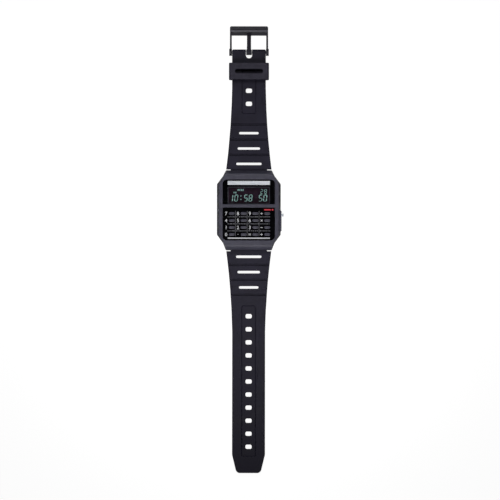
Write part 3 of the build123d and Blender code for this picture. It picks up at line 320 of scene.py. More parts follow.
# Inner parts: seals, mat, frame, board, chip and the rest
sealRubber = mouldedFinish({
    "name": "nitrileSeal", "dark": "#0c0c0d", "light": "#141415", "patch": 2, "grain": 0.3,
    "relief": 0.2, "depth": 0.02, "roughness": 0.6, "swing": 0.06, "ior": 1.52,
})
matRubber = mouldedFinish({
    "name": "siliconeMat", "dark": "#7d8083", "light": "#8d9093", "patch": 3, "grain": 0.3,
    "relief": 0.2, "depth": 0.02, "roughness": 0.62, "swing": 0.06, "ior": 1.41,
})
framePlastic = mouldedFinish({
    "name": "mouldedPolyacetal", "dark": "#cfcfca", "light": "#deded9", "patch": 5, "grain": 0.3,
    "relief": 0.2, "depth": 0.02, "roughness": 0.5, "swing": 0.06, "ior": 1.48,
})
chipResin = mouldedFinish({
    "name": "pottedEpoxy", "dark": "#0a0a0b", "light": "#131314", "patch": 1.5, "grain": 0.4,
    "relief": 0.3, "depth": 0.03, "roughness": 0.25, "swing": 0.06, "ior": 1.55,
})
ceramicWhite = mouldedFinish({
    "name": "firedCeramic", "dark": "#d3c9b4", "light": "#e2dac8", "patch": 1, "grain": 0.2,
    "relief": 0.25, "depth": 0.02, "roughness": 0.45, "swing": 0.06, "ior": 1.6,
})
insulatingFilm = mouldedFinish({
    "name": "polyimideFilm", "dark": "#b9842a", "light": "#cf9a3c", "patch": 6, "grain": 0.5,
    "relief": 0.1, "depth": 0.01, "roughness": 0.25, "swing": 0.05, "ior": 1.7,
})
boardLaminate = bandedFinish({
    "name": "wovenGlassLaminate", "dark": "#0d3a22", "light": "#14502f", "axis": "X", "pitch": 0.5,
    "waver": 1.5, "relief": 0.15, "depth": 0.01, "roughness": 0.4, "swing": 0.06, "ior": 1.55,
})
coilWire = bandedFinish({
    "name": "enamelledCopperWound", "dark": "#7a3a17", "light": "#b8622c", "axis": "Z", "pitch": 0.12,
    "waver": 0, "relief": 0.6, "depth": 0.04, "roughness": 0.35, "swing": 0.08, "metallic": 0.6,
})
brassSheet = brushedFinish({
    "name": "brassRolled", "dark": "#b08d46", "light": "#caa75c", "metallic": 1,
    "lines": (5, 0.2, 1), "relief": 0.2, "depth": 0.01, "roughness": 0.34, "swing": 0.08,
})
reflectorFoil = brushedFinish({
    "name": "satinFoil", "dark": "#9a9a9a", "light": "#b5b5b5", "metallic": 1,
    "lines": (4, 0.3, 1), "relief": 0.1, "depth": 0.01, "roughness": 0.5, "swing": 0.08,
})
# Darker copies that softPiece puts on steep walls as painted shade
steepPaintedShade = {"case_resin": caseResinPaintedShade, "strap_resin": strapResinPaintedShade, "buckle_metal": lacqueredSteelPaintedShade}
slotFinish = {
    "case_resin": caseResin, "strap_resin": strapResin, "window_acrylic": windowAcrylic,
    "panel_plastic": panelPlastic, "key_plastic": keyPlastic, "stainless_steel": coverSteel,
    "spring_steel": rolledSteel, "buckle_metal": lacqueredSteel, "seal_rubber": sealRubber,
    "mat_rubber": matRubber, "module_plastic": framePlastic, "display_glass": cellGlass,
    "reflector_foil": reflectorFoil, "board_laminate": boardLaminate, "chip_resin": chipResin,
    "coil_wire": coilWire, "ceramic_white": ceramicWhite, "brass_sheet": brassSheet,
    "insulating_film": insulatingFilm,
}
for node, slot in slotOf.items():
    mesh = frame["nodes"][node].data
    mesh.materials.clear()
    mesh.materials.append(slotFinish[slot])
print("materials:", len(bpy.data.materials))


# Shapes shared by several pieces. A round takes edges that turn by least degrees or more and pulls back what
# overshoots its old surface, and a wall is steep where its normal rises less than steepFrom
rounding = {"least": 25, "overshoot": 0.12, "outward": -0.2, "steepFrom": 0.36}
joining = {"reach": 0.002, "flat": 1}


def makePiece(name, shape, finish, body, stands=(), sharp=32):
    # Faces shade smoothly, apart from edges that turn by more than the sharp angle
    for face in shape.faces:
        face.smooth = True
    for edge in shape.edges:
        edge.smooth = edge.is_manifold and edge.calc_face_angle(0) < math.radians(sharp)
    mesh = bpy.data.meshes.new(name)
    shape.to_mesh(mesh)
    shape.free()
    mesh.materials.append(finish)
    piece = bpy.data.objects.new(name, mesh)
    bpy.context.scene.collection.objects.link(piece)
    normals = piece.modifiers.new("evenNormals", "WEIGHTED_NORMAL")
    normals.keep_sharp = True
    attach(piece, body)
    if stands:
        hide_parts(*stands)
    return piece


def shapeOf(node):
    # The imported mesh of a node, with its split corners joined and its flat faces whole again
    shape = bmesh.new()
    shape.from_mesh(frame["nodes"][node].data)
    bmesh.ops.remove_doubles(shape, verts=shape.verts, dist=joining["reach"] * mm)
    flat = math.radians(joining["flat"])
    bmesh.ops.dissolve_limit(shape, angle_limit=flat, verts=shape.verts, edges=shape.edges)
    return shape


def roundEdges(shape, picks, width, steps, shortest=0):
    # picks says from an edge's middle, in millimetres, and its two faces whether it is rounded. Where short
    # edges make the round overshoot, its points are pulled back to the surface they came from
    surface = BVHTree.FromBMesh(shape)
    chosen = []
    for edge in shape.edges:
        turns = edge.is_manifold and edge.calc_face_angle(0) > math.radians(rounding["least"])
        if turns and edge.calc_length() >= shortest * mm:
            middle = (edge.verts[0].co + edge.verts[1].co) / 2 / mm
            if picks(middle, edge.link_faces[0].normal, edge.link_faces[1].normal):
                chosen.append(edge)
    bmesh.ops.bevel(
        shape, geom=chosen, offset=width * mm, offset_type="OFFSET", segments=steps, profile=0.5,
        affect="EDGES", clamp_overlap=False,
    )
    for point in shape.verts:
        place, normal = surface.find_nearest(point.co)[:2]
        away = point.co - place
        outward = away.dot(normal) > rounding["outward"] * away.length
        if outward and away.length > rounding["overshoot"] * mm:
            point.co = place


def softPiece(name, node, rounds, sharp, finish=None):
    # A node with rounded edges, whose steep walls get a darker copy of its finish as painted shade
    shape = shapeOf(node)
    for settings in rounds:
        roundEdges(shape, *settings)
    slot = slotOf[node]
    # Faces steeper than steepFrom take the darker copy: painted shade
    if slot in steepPaintedShade:
        shape.normal_update()
        for face in shape.faces:
            face.material_index = int(abs(face.normal.z) < rounding["steepFrom"])
    piece = makePiece(name, shape, finish or slotFinish[slot], bodyOf[node], (node,), sharp)
    if slot in steepPaintedShade:
        piece.data.materials.append(steepPaintedShade[slot])
    return piece


def everyEdge(middle, first, second):
    return True


def stadium(x, y, length, width, steps=12):
    radius = width / 2
    points = []
    for side in (1, -1):
        for step in range(steps + 1):
            turn = math.pi * (step / steps - 0.5) + (0 if side > 0 else math.pi)
            points.append((
                x + side * (length / 2 - radius) + radius * math.cos(turn), y + radius * math.sin(turn),
            ))
    return points


def roundedBox(low, high, radius, steps=6):
    points = []
    corners = ((high[0], high[1], 0), (low[0], high[1], 1), (low[0], low[1], 2), (high[0], low[1], 3))
    for x, y, quarter in corners:
        for step in range(steps + 1):
            turn = math.pi / 2 * (quarter + step / steps)
            inX = x - radius if x == high[0] else x + radius
            inY = y - radius if y == high[1] else y + radius
            points.append((inX + radius * math.cos(turn), inY + radius * math.sin(turn)))
    return points


def slab(shape, loops, low, high):
    # A flat plate from outlines in millimetres. The first is its edge and the others are holes in it
    edges = []
    for loop in loops:
        points = [shape.verts.new(Vector((x, y, high)) * mm) for x, y in loop]
        edges += [shape.edges.new((points[i - 1], points[i])) for i in range(len(points))]
    filled = bmesh.ops.triangle_fill(shape, use_beauty=True, use_dissolve=False, edges=edges)
    faces = [part for part in filled["geom"] if isinstance(part, bmesh.types.BMFace)]
    for face in faces:
        if face.normal.z < 0:
            face.normal_flip()
    grown = bmesh.ops.extrude_face_region(shape, geom=faces, use_keep_orig=True)
    lower = [part for part in grown["geom"] if isinstance(part, bmesh.types.BMVert)]
    bmesh.ops.translate(shape, verts=lower, vec=Vector((0, 0, low - high)) * mm)
    bmesh.ops.recalc_face_normals(shape, faces=shape.faces)


def lofted(shape, loops):
    # A closed skin over loops with the same number of points, in millimetres
    rings = [[shape.verts.new(Vector(point) * mm) for point in loop] for loop in loops]
    skin = [shape.faces.new(rings[0]), shape.faces.new(rings[-1])]
    for near, far in zip(rings, rings[1:]):
        for index in range(len(near)):
            skin.append(shape.faces.new((near[index - 1], near[index], far[index], far[index - 1])))
    bmesh.ops.recalc_face_normals(shape, faces=skin)


def turned(shape, profile, centre, axis, steps=40):
    # A round piece from (along, radius) points in millimetres, about an axis through the centre
    axis = Vector(axis)
    side = axis.orthogonal().normalized()
    up = axis.cross(side)
    angles = [2 * math.pi * step / steps for step in range(steps)]
    lofted(shape, [
        [Vector(centre) + axis * along + radius * (math.cos(a) * side + math.sin(a) * up) for a in angles]
        for along, radius in profile
    ])


def lettering(shape, text, middle, size, bold, low, high):
    # Plain numerals and signs from the built-in font, centred on a point
    curve = bpy.data.curves.new("numeral", "FONT")
    curve.body = text
    curve.size = size
    curve.offset = bold
    curve.extrude = (high - low) / 2
    curve.resolution_u = 5
    stamp = bpy.data.objects.new("numeral", curve)
    mesh = bpy.data.meshes.new_from_object(stamp)
    places = [vertex.co for vertex in mesh.vertices]
    shift = Vector((
        middle[0] - (min(place.x for place in places) + max(place.x for place in places)) / 2,
        middle[1] - (min(place.y for place in places) + max(place.y for place in places)) / 2,
        (low + high) / 2,
    ))
    for vertex in mesh.vertices:
        vertex.co = (vertex.co + shift) * mm
    mesh.materials.clear()
    shape.from_mesh(mesh)
    bpy.data.objects.remove(stamp)
    bpy.data.curves.remove(curve)
    bpy.data.meshes.remove(mesh)


# Case: its outer edges are rounded. The openings of its face, the recess for the cover, the cavity and the
# notches for the straps keep crisp edges. Each of them is given by its half width, its half length, where a
# notch starts, and its top
caseHigh = boxOf("case_body")[1]
caseLook = {
    "rim": (0.28, 3), "sharp": 25,
    "face": (14.3, 16.7, caseHigh.z - 0.05), "recess": (15.2, 17, 1.6), "cavity": (14.6, 16.6, 6.2),
    "notch": (11.3, 16.9, 4.2),
}


def caseOuterEdge(middle, first, second):
    for part in ("face", "recess", "cavity"):
        across, along, top = caseLook[part]
        if abs(middle.x) < across and abs(middle.y) < along and middle.z < top:
            return False
    across, along, top = caseLook["notch"]
    return not (abs(middle.x) < across and abs(middle.y) > along and middle.z < top)


softPiece("caseShell", "case_body", [(caseOuterEdge, *caseLook["rim"])], caseLook["sharp"])
print("case softened")


# Straps: the flanks and the tip have a broad round, the upright corners of the slots and holes a small one,
# and the buckle's end is wrapped round its pin. A round is its width, its steps and the shortest edge that it
# takes, and the facing values say how far a face's normal leans that way
strapLook = {
    "flank": (0.55, 4, 1.2), "flankFrom": 8.0, "tipFrom": -131.5, "corner": (0.28, 2), "cornerWithin": 7.6,
    "end": (1.3, 6), "endFrom": 86.5, "sharp": 20,
    "topFacing": 0.8, "sideFacing": 0.97, "tipFacing": 0.3, "endFacing": 0.6, "uprightWithin": 0.2,
}


def strapFlankEdge(middle, first, second):
    upward = max(first.z, second.z) > strapLook["topFacing"]
    sideways = max(abs(first.x), abs(second.x)) > strapLook["sideFacing"]
    atTip = middle.y < strapLook["tipFrom"] and min(first.y, second.y) < -strapLook["tipFacing"]
    return upward and (sideways and abs(middle.x) > strapLook["flankFrom"] or atTip)


def strapEndEdge(middle, first, second):
    upward = max(first.z, second.z) > strapLook["topFacing"]
    endward = max(first.y, second.y) > strapLook["endFacing"]
    return upward and endward and middle.y > strapLook["endFrom"]


def openingCorner(middle, first, second):
    upright = max(abs(first.z), abs(second.z)) < strapLook["uprightWithin"]
    return upright and abs(middle.x) < strapLook["cornerWithin"]


strapRounds = [
    (openingCorner, *strapLook["corner"]), (strapFlankEdge, *strapLook["flank"]),
    (strapEndEdge, *strapLook["end"]),
]
for node in ("strap_short", "strap_long"):
    softPiece(node + "_soft", node, strapRounds, strapLook["sharp"])
print("straps softened")

# Keeper: a moulded band, rounded along both its rims
keeperLow, keeperHigh = boxOf("keeper_loop")
keeperLook = {"rim": (0.4, 3), "rimWithin": 0.05, "rimFacing": 0.9, "sharp": 20}


def keeperRim(middle, first, second):
    atRim = min(middle.y - keeperLow.y, keeperHigh.y - middle.y) < keeperLook["rimWithin"]
    return atRim and max(abs(first.y), abs(second.y)) > keeperLook["rimFacing"]


softPiece("keeperBand", "keeper_loop", [(keeperRim, *keeperLook["rim"])], keeperLook["sharp"], keeperResin)

# Buckle: the flat top of the ridge along its plate gets the paler lacquer copy, a painted highlight
buckleLook = {"round": (0.12, 2), "sharp": 20, "ridgeHeight": 3.5, "ridgeFrom": 95, "ridgeFacing": 0.9}
buckleRounds = [(everyEdge, *buckleLook["round"])]
buckleSoft = softPiece("buckleFrameSoft", "buckle_frame", buckleRounds, buckleLook["sharp"])
buckleSoft.data.materials.append(lacqueredSteelPaintedHighlight)
highlightIndex = len(buckleSoft.data.materials) - 1
# Upward faces on the ridge take the paler copy: painted highlight
for face in buckleSoft.data.polygons:
    onRidge = face.center.z > buckleLook["ridgeHeight"] * mm and face.center.y > buckleLook["ridgeFrom"] * mm
    if onRidge and face.normal.z > buckleLook["ridgeFacing"]:
        face.material_index = highlightIndex
softPiece("buckleTongueSoft", "buckle_tongue", buckleRounds, buckleLook["sharp"])

# Back cover: every pressed edge has a small round
coverLook = {"round": (0.08, 2), "sharp": 20}
softPiece("coverPressed", "back_cover", [(everyEdge, *coverLook["round"])], coverLook["sharp"])
print("keeper, buckle and cover softened")


# Window: a black mask with a film along the foot of its opening, a foil strip and a grey frame, all on its
# underside and seen through it
windowLow, windowHigh = boxOf("display_window")
windowLook = {
    "margin": 0.05, "corner": 2.1, "opening": ((-11.0, 3.75), (11.0, 12.25)), "openingCorner": 0.5,
    "frame": ((-11.4, 3.34), (11.4, 12.69)), "frameCorner": 0.7, "frameWidth": 0.5,
    "strip": ((-11.4, 13.66), (11.4, 15.77)), "stripCorner": 0.12,
    "tint": ((-10.97, 3.78), (10.97, 4.7)), "tintCorner": 0.02,
    "mask": (0.01, 0.03), "print": (0.035, 0.05), "cornerSteps": 8,
}
touching = 0.001  # Points nearer than this to a line count as on it
left, bottom = windowLow.x + windowLook["margin"], windowLow.y + windowLook["margin"]
right, top = windowHigh.x - windowLook["margin"], windowHigh.y - windowLook["margin"]
maskEdge = [(left, bottom), (right, bottom)] + [
    point for point in roundedBox(
        (left, bottom), (right, top), windowLook["corner"], windowLook["cornerSteps"],
    )
    if point[1] > top - windowLook["corner"] - touching
]
maskLevels = [windowLow.z + level for level in windowLook["mask"]]
printLevels = [windowLow.z + level for level in windowLook["print"]]
shape = bmesh.new()
slab(shape, [maskEdge, roundedBox(*windowLook["opening"], windowLook["openingCorner"])], *maskLevels)
makePiece("windowMask", shape, inkBlack, "case")
shape = bmesh.new()
slab(shape, [roundedBox(*windowLook["tint"], windowLook["tintCorner"])], *maskLevels)
makePiece("windowTint", shape, polariserFilm, "case")
shape = bmesh.new()
foot, head = windowLook["frame"]
width = windowLook["frameWidth"]
inner = ((foot[0] + width, foot[1] + width), (head[0] - width, head[1] - width))
frameLoops = [
    roundedBox(foot, head, windowLook["frameCorner"]), roundedBox(*inner, windowLook["openingCorner"]),
]
slab(shape, frameLoops, *printLevels)
makePiece("windowFrame", shape, inkDim, "case")
shape = bmesh.new()
slab(shape, [roundedBox(*windowLook["strip"], windowLook["stripCorner"])], *printLevels)
makePiece("foilStrip", shape, silverFoil, "case")
print("window printed")


# Display cell: dark polariser with slanted seven-bar numerals and a few plain marks
cellLow, cellHigh = boxOf("display_front_glass")
cellLook = {
    "filmMargin": 0.1, "filmCorner": 0.2, "film": (0.01, 0.035), "strokes": (0.045, 0.07),
    "slant": math.tan(math.radians(6)),
    "large": {"width": 1.95, "height": 3.8, "stroke": 0.44, "gap": 0.06},
    "small": {"width": 1.3, "height": 2.4, "stroke": 0.27, "gap": 0.04},
    "time": (("1", -10.65), ("0", -7.95), ("5", -2.8), ("8", -0.25), ("5", 5.15), ("0", 7.65)),
    "timeFoot": 4.65, "date": (("2", 6.2), ("8", 8.25)), "dateFoot": 8.95,
    "colon": (-4.25, (5.8, 7.7), 0.6), "colonCorner": 0.15, "markCorner": 0.12, "cornerSteps": 3,
    "marks": ((-6.1, -5.2, -4.3, -3.4), 10.4, (0.55, 0.95)),
    "lowerMarks": ((-8.3, -7.35), 9.1, (0.6, 0.85)),
}
numeralBars = {
    "0": "abcdef", "1": "bc", "2": "abged", "5": "afgcd", "8": "abcdefg",
}


def slanted(points, foot):
    return [(x + (y - foot) * cellLook["slant"], y) for x, y in points]


def numeral(shape, character, left, foot, look, levels):
    # Bars a to g: top, upper right, lower right, bottom, lower left, upper left and middle
    width, height, half, gap = look["width"], look["height"], look["stroke"] / 2, look["gap"]
    low, middle, high = foot + half, foot + height / 2, foot + height - half
    near, far = left + half, left + width - half
    ends = {
        "a": ((near, high), (far, high)), "b": ((far, high), (far, middle)),
        "c": ((far, middle), (far, low)), "d": ((far, low), (near, low)),
        "e": ((near, low), (near, middle)), "f": ((near, middle), (near, high)),
        "g": ((near, middle), (far, middle)),
    }
    for bar in numeralBars[character]:
        start, stop = [Vector(point) for point in ends[bar]]
        along = (stop - start).normalized()
        across = Vector((-along.y, along.x)) * half
        start, stop = start + along * gap, stop - along * gap
        points = [
            start, start + along * half + across, stop - along * half + across,
            stop, stop - along * half - across, start + along * half - across,
        ]
        slab(shape, [slanted([(point.x, point.y) for point in points], foot)], *levels)


filmLevels = [cellHigh.z + level for level in cellLook["film"]]
strokeLevels = [cellHigh.z + level for level in cellLook["strokes"]]
inset = cellLook["filmMargin"]
filmEdge = roundedBox(
    (cellLow.x + inset, cellLow.y + inset), (cellHigh.x - inset, cellHigh.y - inset), cellLook["filmCorner"],
)
shape = bmesh.new()
slab(shape, [filmEdge], *filmLevels)
makePiece("polariser", shape, polariserFilm, "case")
shape = bmesh.new()
for character, left in cellLook["time"]:
    numeral(shape, character, left, cellLook["timeFoot"], cellLook["large"], strokeLevels)
for character, left in cellLook["date"]:
    numeral(shape, character, left, cellLook["dateFoot"], cellLook["small"], strokeLevels)
x, heights, side = cellLook["colon"]
half = side / 2
for y in heights:
    box = roundedBox(
        (x - half, y - half), (x + half, y + half), cellLook["colonCorner"], cellLook["cornerSteps"],
    )
    slab(shape, [slanted(box, y)], *strokeLevels)
for places, foot, (width, height) in (cellLook["marks"], cellLook["lowerMarks"]):
    for x in places:
        box = roundedBox(
            (x, foot), (x + width, foot + height), cellLook["markCorner"], cellLook["cornerSteps"],
        )
        slab(shape, [slanted(box, foot)], *strokeLevels)
makePiece("numerals", shape, crystalStroke, "case")
print("display lit")


# Key panel with its true round-ended holes, and the sixteen keys through it
panelLow, panelHigh = boxOf("keypad_panel")
keyLook = {
    "length": 3.24, "width": 1.5, "gap": 0.1, "flange": 0.3, "flangeTop": 6.45, "round": 0.28,
    "roundSteps": 5, "crown": 0.05, "crownShares": (0.35, 0.7), "sharp": 40,
    "panelCorner": 2.22, "cornerSteps": 8, "panelRound": (0.06, 1), "panelTopWithin": 0.01, "panelSharp": 25,
}
keyNames = (
    "7", "8", "9", "divide", "4", "5", "6", "multiply",
    "1", "2", "3", "minus", "0", "point", "equals", "plus",
)
keyMiddles = {name: sum(boxOf("key_" + name), Vector()) / 2 for name in keyNames}
shape = bmesh.new()
left, bottom, right, top = panelLow.x, panelLow.y, panelHigh.x, panelHigh.y
panelEdge = [(right, top), (left, top)] + [
    point for point in roundedBox(
        (left, bottom), (right, top), keyLook["panelCorner"], keyLook["cornerSteps"],
    )
    if point[1] < bottom + keyLook["panelCorner"] + touching
]
keyHoles = [
    stadium(place.x, place.y, keyLook["length"] + 2 * keyLook["gap"], keyLook["width"] + 2 * keyLook["gap"])
    for place in keyMiddles.values()
]
slab(shape, [panelEdge] + keyHoles, panelLow.z, panelHigh.z)


def panelTopEdge(middle, first, second):
    return middle.z > panelHigh.z - keyLook["panelTopWithin"]


roundEdges(shape, panelTopEdge, *keyLook["panelRound"])
makePiece(
    "keyPanelFine", shape, panelPlastic, "case", ("keypad_panel",), keyLook["panelSharp"],
)
for name, place in keyMiddles.items():
    low, high = boxOf("key_" + name)
    shoulder = high.z - keyLook["crown"]
    levels = [
        (low.z, keyLook["flange"]), (keyLook["flangeTop"], keyLook["flange"]), (keyLook["flangeTop"], 0),
        (shoulder - keyLook["round"], 0),
    ]
    for step in range(1, keyLook["roundSteps"] + 1):
        turn = math.pi / 2 * step / keyLook["roundSteps"]
        drop = keyLook["round"] * (1 - math.sin(turn))
        levels.append((shoulder - drop, -keyLook["round"] * (1 - math.cos(turn))))
    for share in keyLook["crownShares"]:
        inward = keyLook["round"] + (keyLook["width"] / 2 - keyLook["round"]) * share
        levels.append((high.z - keyLook["crown"] * (1 - share) ** 2, -inward))
    shape = bmesh.new()
    loops = []
    for z, out in levels:
        edge = stadium(place.x, place.y, keyLook["length"] + 2 * out, keyLook["width"] + 2 * out)
        loops.append([(x, y, z) for x, y in edge])
    lofted(shape, loops)
    node = "key_" + name
    makePiece("cap_" + name, shape, keyPlastic, bodyOf[node], (node,), keyLook["sharp"])
print("keys shaped")

# Prints on the panel: numerals and signs beside the keys, dividers, a foot line and rows of plain marks
printLook = {
    "levels": (0.004, 0.014), "label": -3.02, "labelSize": 2.6, "bold": 0.04,
    "dividers": (-7.21, -0.89, 5.54), "dividerSpan": (-13.9, -0.4), "dividerWidth": 0.2,
    "marks": ((-11.4, -7.7), (-6.8, -1.3), (-0.4, 5.0), (6.0, 11.3)), "markHeight": 0.5, "markSeed": 16,
    "markRows": (-3.56, -7.34, -11.12), "markWidths": (0.14, 0.5), "markGaps": (0.14, 0.5),
    "line": ((-11.4, -15.39), (11.4, -14.74)), "lineCorner": 0.1,
    "redBar": ((8.24, -0.1), (11.9, 0.55)), "redCorner": 0.15, "redDot": (12.77, 0.2, 0.46),
}
levels = [panelHigh.z + level for level in printLook["levels"]]
signs = {
    "divide": "\u00f7", "multiply": "\u00d7", "minus": "\u2212", "point": ".", "equals": "=", "plus": "+",
}
shape = bmesh.new()
for name, place in keyMiddles.items():
    lettering(
        shape, signs.get(name, name), (place.x + printLook["label"], place.y),
        printLook["labelSize"], printLook["bold"], *levels,
    )
makePiece("panelNumerals", shape, inkWhite, "case")
shape = bmesh.new()
slab(shape, [roundedBox(*printLook["line"], printLook["lineCorner"])], *levels)
makePiece("panelLine", shape, inkWhite, "case")
shape = bmesh.new()
foot, head = printLook["dividerSpan"]
half = printLook["dividerWidth"] / 2
for x in printLook["dividers"]:
    slab(shape, [[(x - half, foot), (x + half, foot), (x + half, head), (x - half, head)]], *levels)
draw = random.Random(printLook["markSeed"])
half = printLook["markHeight"] / 2
for y in printLook["markRows"]:
    for start, stop in printLook["marks"]:
        x = start
        while x < stop:
            width = draw.uniform(*printLook["markWidths"])
            end = x + width
            slab(shape, [[(x, y - half), (end, y - half), (end, y + half), (x, y + half)]], *levels)
            x = end + draw.uniform(*printLook["markGaps"])
makePiece("panelMarks", shape, inkGrey, "case")
shape = bmesh.new()
slab(shape, [roundedBox(*printLook["redBar"], printLook["redCorner"])], *levels)
x, y, radius = printLook["redDot"]
slab(shape, [roundedBox((x - radius, y - radius), (x + radius, y + radius), radius - touching)], *levels)
makePiece("panelRed", shape, inkRed, "case")
print("panel printed")


# Back screws: rounded heads with a cross recess. The rim is the height above the head's face and the step in
# from its edge, point by point
screwLow, screwHigh = boxOf("back_screws")
screwLook = {
    "head": 0.95, "shaft": 0.6, "tip": 0.42, "tipLength": 0.2, "headHeight": 0.2,
    "rim": ((0.08, 0), (0.02, 0.06), (0, 0.16)), "arm": 0.55, "armHalf": 0.13, "recess": 0.13, "sides": 48,
}
headTop = screwLow.z + screwLook["headHeight"]
screwProfile = [
    (screwHigh.z, screwLook["tip"]), (screwHigh.z - screwLook["tipLength"], screwLook["shaft"]),
    (headTop, screwLook["shaft"]), (headTop, screwLook["head"]),
] + [(screwLow.z + height, screwLook["head"] - inward) for height, inward in screwLook["rim"]]
angles = [2 * math.pi * step / screwLook["sides"] for step in range(screwLook["sides"])]
shape = bmesh.new()
for x in (screwLow.x + screwLook["head"], screwHigh.x - screwLook["head"]):
    for y in (screwLow.y + screwLook["head"], screwHigh.y - screwLook["head"]):
        loops = []
        for z, radius in screwProfile:
            loops.append([(x + radius * math.cos(a), y + radius * math.sin(a), z) for a in angles])
        cross = []
        for a in angles:
            aside = abs(math.sin((a + math.pi / 4) % (math.pi / 2) - math.pi / 4))
            reach = min(screwLook["arm"], screwLook["armHalf"] / max(aside, touching))
            cross.append((x + reach * math.cos(a), y + reach * math.sin(a)))
        for z in (screwLow.z, screwLow.z + screwLook["recess"]):
            loops.append([(crossX, crossY, z) for crossX, crossY in cross])
        lofted(shape, loops)
makePiece("crossScrews", shape, turnedSteel, "case", ("back_screws",))

# Side buttons, turned from bar with a rounded tip. The tip's middle point lies at a share of its round
buttonLook = {
    "mode_button": {"piece": "modePusher", "outward": 1, "head": 0.9, "headLength": 0.5, "round": 0.15},
    "adjust_button": {"piece": "adjustPusher", "outward": -1, "head": 0.7, "headLength": 0.9, "round": 0.1},
}
stemLook = {"radius": 0.5, "edge": 0.1, "headEdge": 0.05, "tipShare": 0.3}
for node, look in buttonLook.items():
    low, high = boxOf(node)
    start = low.x if look["outward"] > 0 else high.x
    length = high.x - low.x
    neck = length - look["headLength"]
    stem, edge, headEdge = stemLook["radius"], stemLook["edge"], stemLook["headEdge"]
    head, tip = look["head"], look["round"]
    middleTip = tip * stemLook["tipShare"]
    profile = [
        (0, stem - edge), (edge, stem), (neck, stem), (neck, head - headEdge), (neck + headEdge, head),
        (length - tip, head), (length - middleTip, head - middleTip), (length, head - tip),
    ]
    shape = bmesh.new()
    middle = (low + high) / 2
    turned(shape, profile, (start, middle.y, middle.z), (look["outward"], 0, 0))
    makePiece(look["piece"], shape, turnedSteel, bodyOf[node], (node,))
print("screws and side buttons turned")


# Camera straight above, with a long lens so that the straps don't lean. The picture's width is measured at
# the level given
view = {
    "middle": (0.675, -21.44), "level": 3.5, "width": 270, "lens": 200, "sensor": 36, "turn": 0.00125,
    "clip": (0.05, 20),
}
lens = bpy.data.cameras.new("camera")
lens.lens = view["lens"]
lens.sensor_width = view["sensor"]
lens.clip_start, lens.clip_end = view["clip"]
camera = bpy.data.objects.new("camera", lens)
bpy.context.scene.collection.objects.link(camera)
camera.rotation_euler.z = view["turn"]
distance = view["width"] * view["lens"] / view["sensor"]
camera.location = Vector((*view["middle"], distance + view["level"])) * mm
bpy.context.scene.camera = camera

# Studio: two square soft lamps in line with the straps, one beyond each end of the case and both with a grid
# that narrows them, and pale walls under a dark ceiling
lamps = (
    {"name": "keyLamp", "place": (-0.02, -0.15, 0.3), "size": 0.12, "power": 0.094, "spread": 60},
    {"name": "fillLamp", "place": (-0.02, 0.19, 0.3), "size": 0.12, "power": 0.125, "spread": 100},
)
for look in lamps:
    light = bpy.data.lights.new(look["name"], "AREA")
    light.size = look["size"]
    light.energy = look["power"]
    light.spread = math.radians(look["spread"])
    lamp = bpy.data.objects.new(look["name"], light)
    bpy.context.scene.collection.objects.link(lamp)
    lamp.location = look["place"]
    lamp.visible_camera = False
    aim = Vector((0, 0, 0)) - lamp.location
    lamp.rotation_euler = aim.to_track_quat("-Z", "Y").to_euler()

world = bpy.data.worlds.new("studio")
bpy.context.scene.world = world
world.use_nodes = True
tree = world.node_tree
tree.nodes.clear()
studio = {"wall": 0.15, "ceiling": 0.01, "ceilingFrom": 0.85, "wallTo": 0.2}
direction = addNode(tree, "ShaderNodeTexCoord").outputs["Generated"]
height = addNode(tree, "ShaderNodeSeparateXYZ", links={0: direction}).outputs["Z"]
glow = addNode(
    tree, "ShaderNodeMapRange",
    {
        "From Min": studio["wallTo"], "From Max": studio["ceilingFrom"],
        "To Min": studio["wall"], "To Max": studio["ceiling"],
    },
    {"Value": height},
)
room = addNode(tree, "ShaderNodeBackground", {"Color": (1, 1, 1, 1)}, {"Strength": glow.outputs["Result"]})
white = addNode(tree, "ShaderNodeBackground", {"Color": (1, 1, 1, 1), "Strength": 1.0})
seen = addNode(tree, "ShaderNodeLightPath").outputs["Is Camera Ray"]
shown = addNode(tree, "ShaderNodeMixShader", links={0: seen, 1: room.outputs[0], 2: white.outputs[0]})
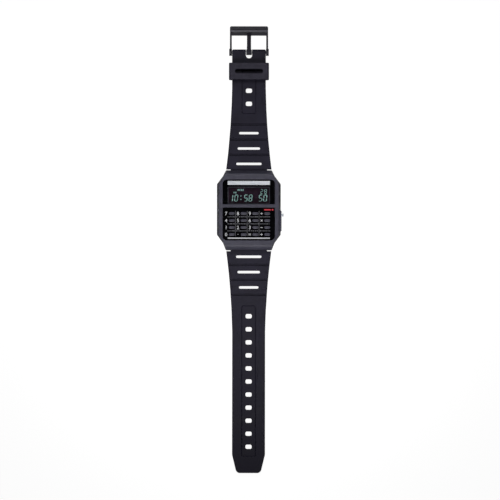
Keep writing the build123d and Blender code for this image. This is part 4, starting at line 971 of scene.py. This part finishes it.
addNode(tree, "ShaderNodeOutputWorld", links={"Surface": shown.outputs[0]})

# Table: white to the eye, in reflections and through the window, grey to the light that it sends back up, and
# clear from below. It keeps the watch's soft shadow
tableLook = {"halfSide": 2, "below": 0.02, "paint": 0.15, "seenPaint": 0.2, "seenGlow": 0.94}
shape = bmesh.new()
bmesh.ops.create_grid(shape, x_segments=1, y_segments=1, size=tableLook["halfSide"])
mesh = bpy.data.meshes.new("table")
shape.to_mesh(mesh)
shape.free()
table = bpy.data.objects.new("table", mesh)
bpy.context.scene.collection.objects.link(table)
table.location.z = -tableLook["below"] * mm
material = bpy.data.materials.new("paintedTable")
material.use_nodes = True
tree = material.node_tree
tree.nodes.clear()
paint = addNode(tree, "ShaderNodeBsdfDiffuse", {"Color": [tableLook["paint"]] * 3 + [1]})
seenPaint = addNode(tree, "ShaderNodeBsdfDiffuse", {"Color": [tableLook["seenPaint"]] * 3 + [1]})
glow = addNode(tree, "ShaderNodeEmission", {"Color": (1, 1, 1, 1), "Strength": tableLook["seenGlow"]})
bright = addNode(tree, "ShaderNodeAddShader", links={0: seenPaint.outputs[0], 1: glow.outputs[0]})
path = addNode(tree, "ShaderNodeLightPath")
seen = addNode(
    tree, "ShaderNodeMath", {"operation": "MAXIMUM"},
    {0: path.outputs["Is Camera Ray"], 1: path.outputs["Is Glossy Ray"]},
)
seen = addNode(
    tree, "ShaderNodeMath", {"operation": "MAXIMUM"},
    {0: seen.outputs[0], 1: path.outputs["Is Transmission Ray"]},
)
above = addNode(
    tree, "ShaderNodeMixShader", links={0: seen.outputs[0], 1: paint.outputs[0], 2: bright.outputs[0]},
)
clear = addNode(tree, "ShaderNodeBsdfTransparent")
below = addNode(tree, "ShaderNodeNewGeometry").outputs["Backfacing"]
sides = addNode(tree, "ShaderNodeMixShader", links={0: below, 1: above.outputs[0], 2: clear.outputs[0]})
addNode(tree, "ShaderNodeOutputMaterial", links={"Surface": sides.outputs[0]})
table.data.materials.append(material)
print("studio ready")
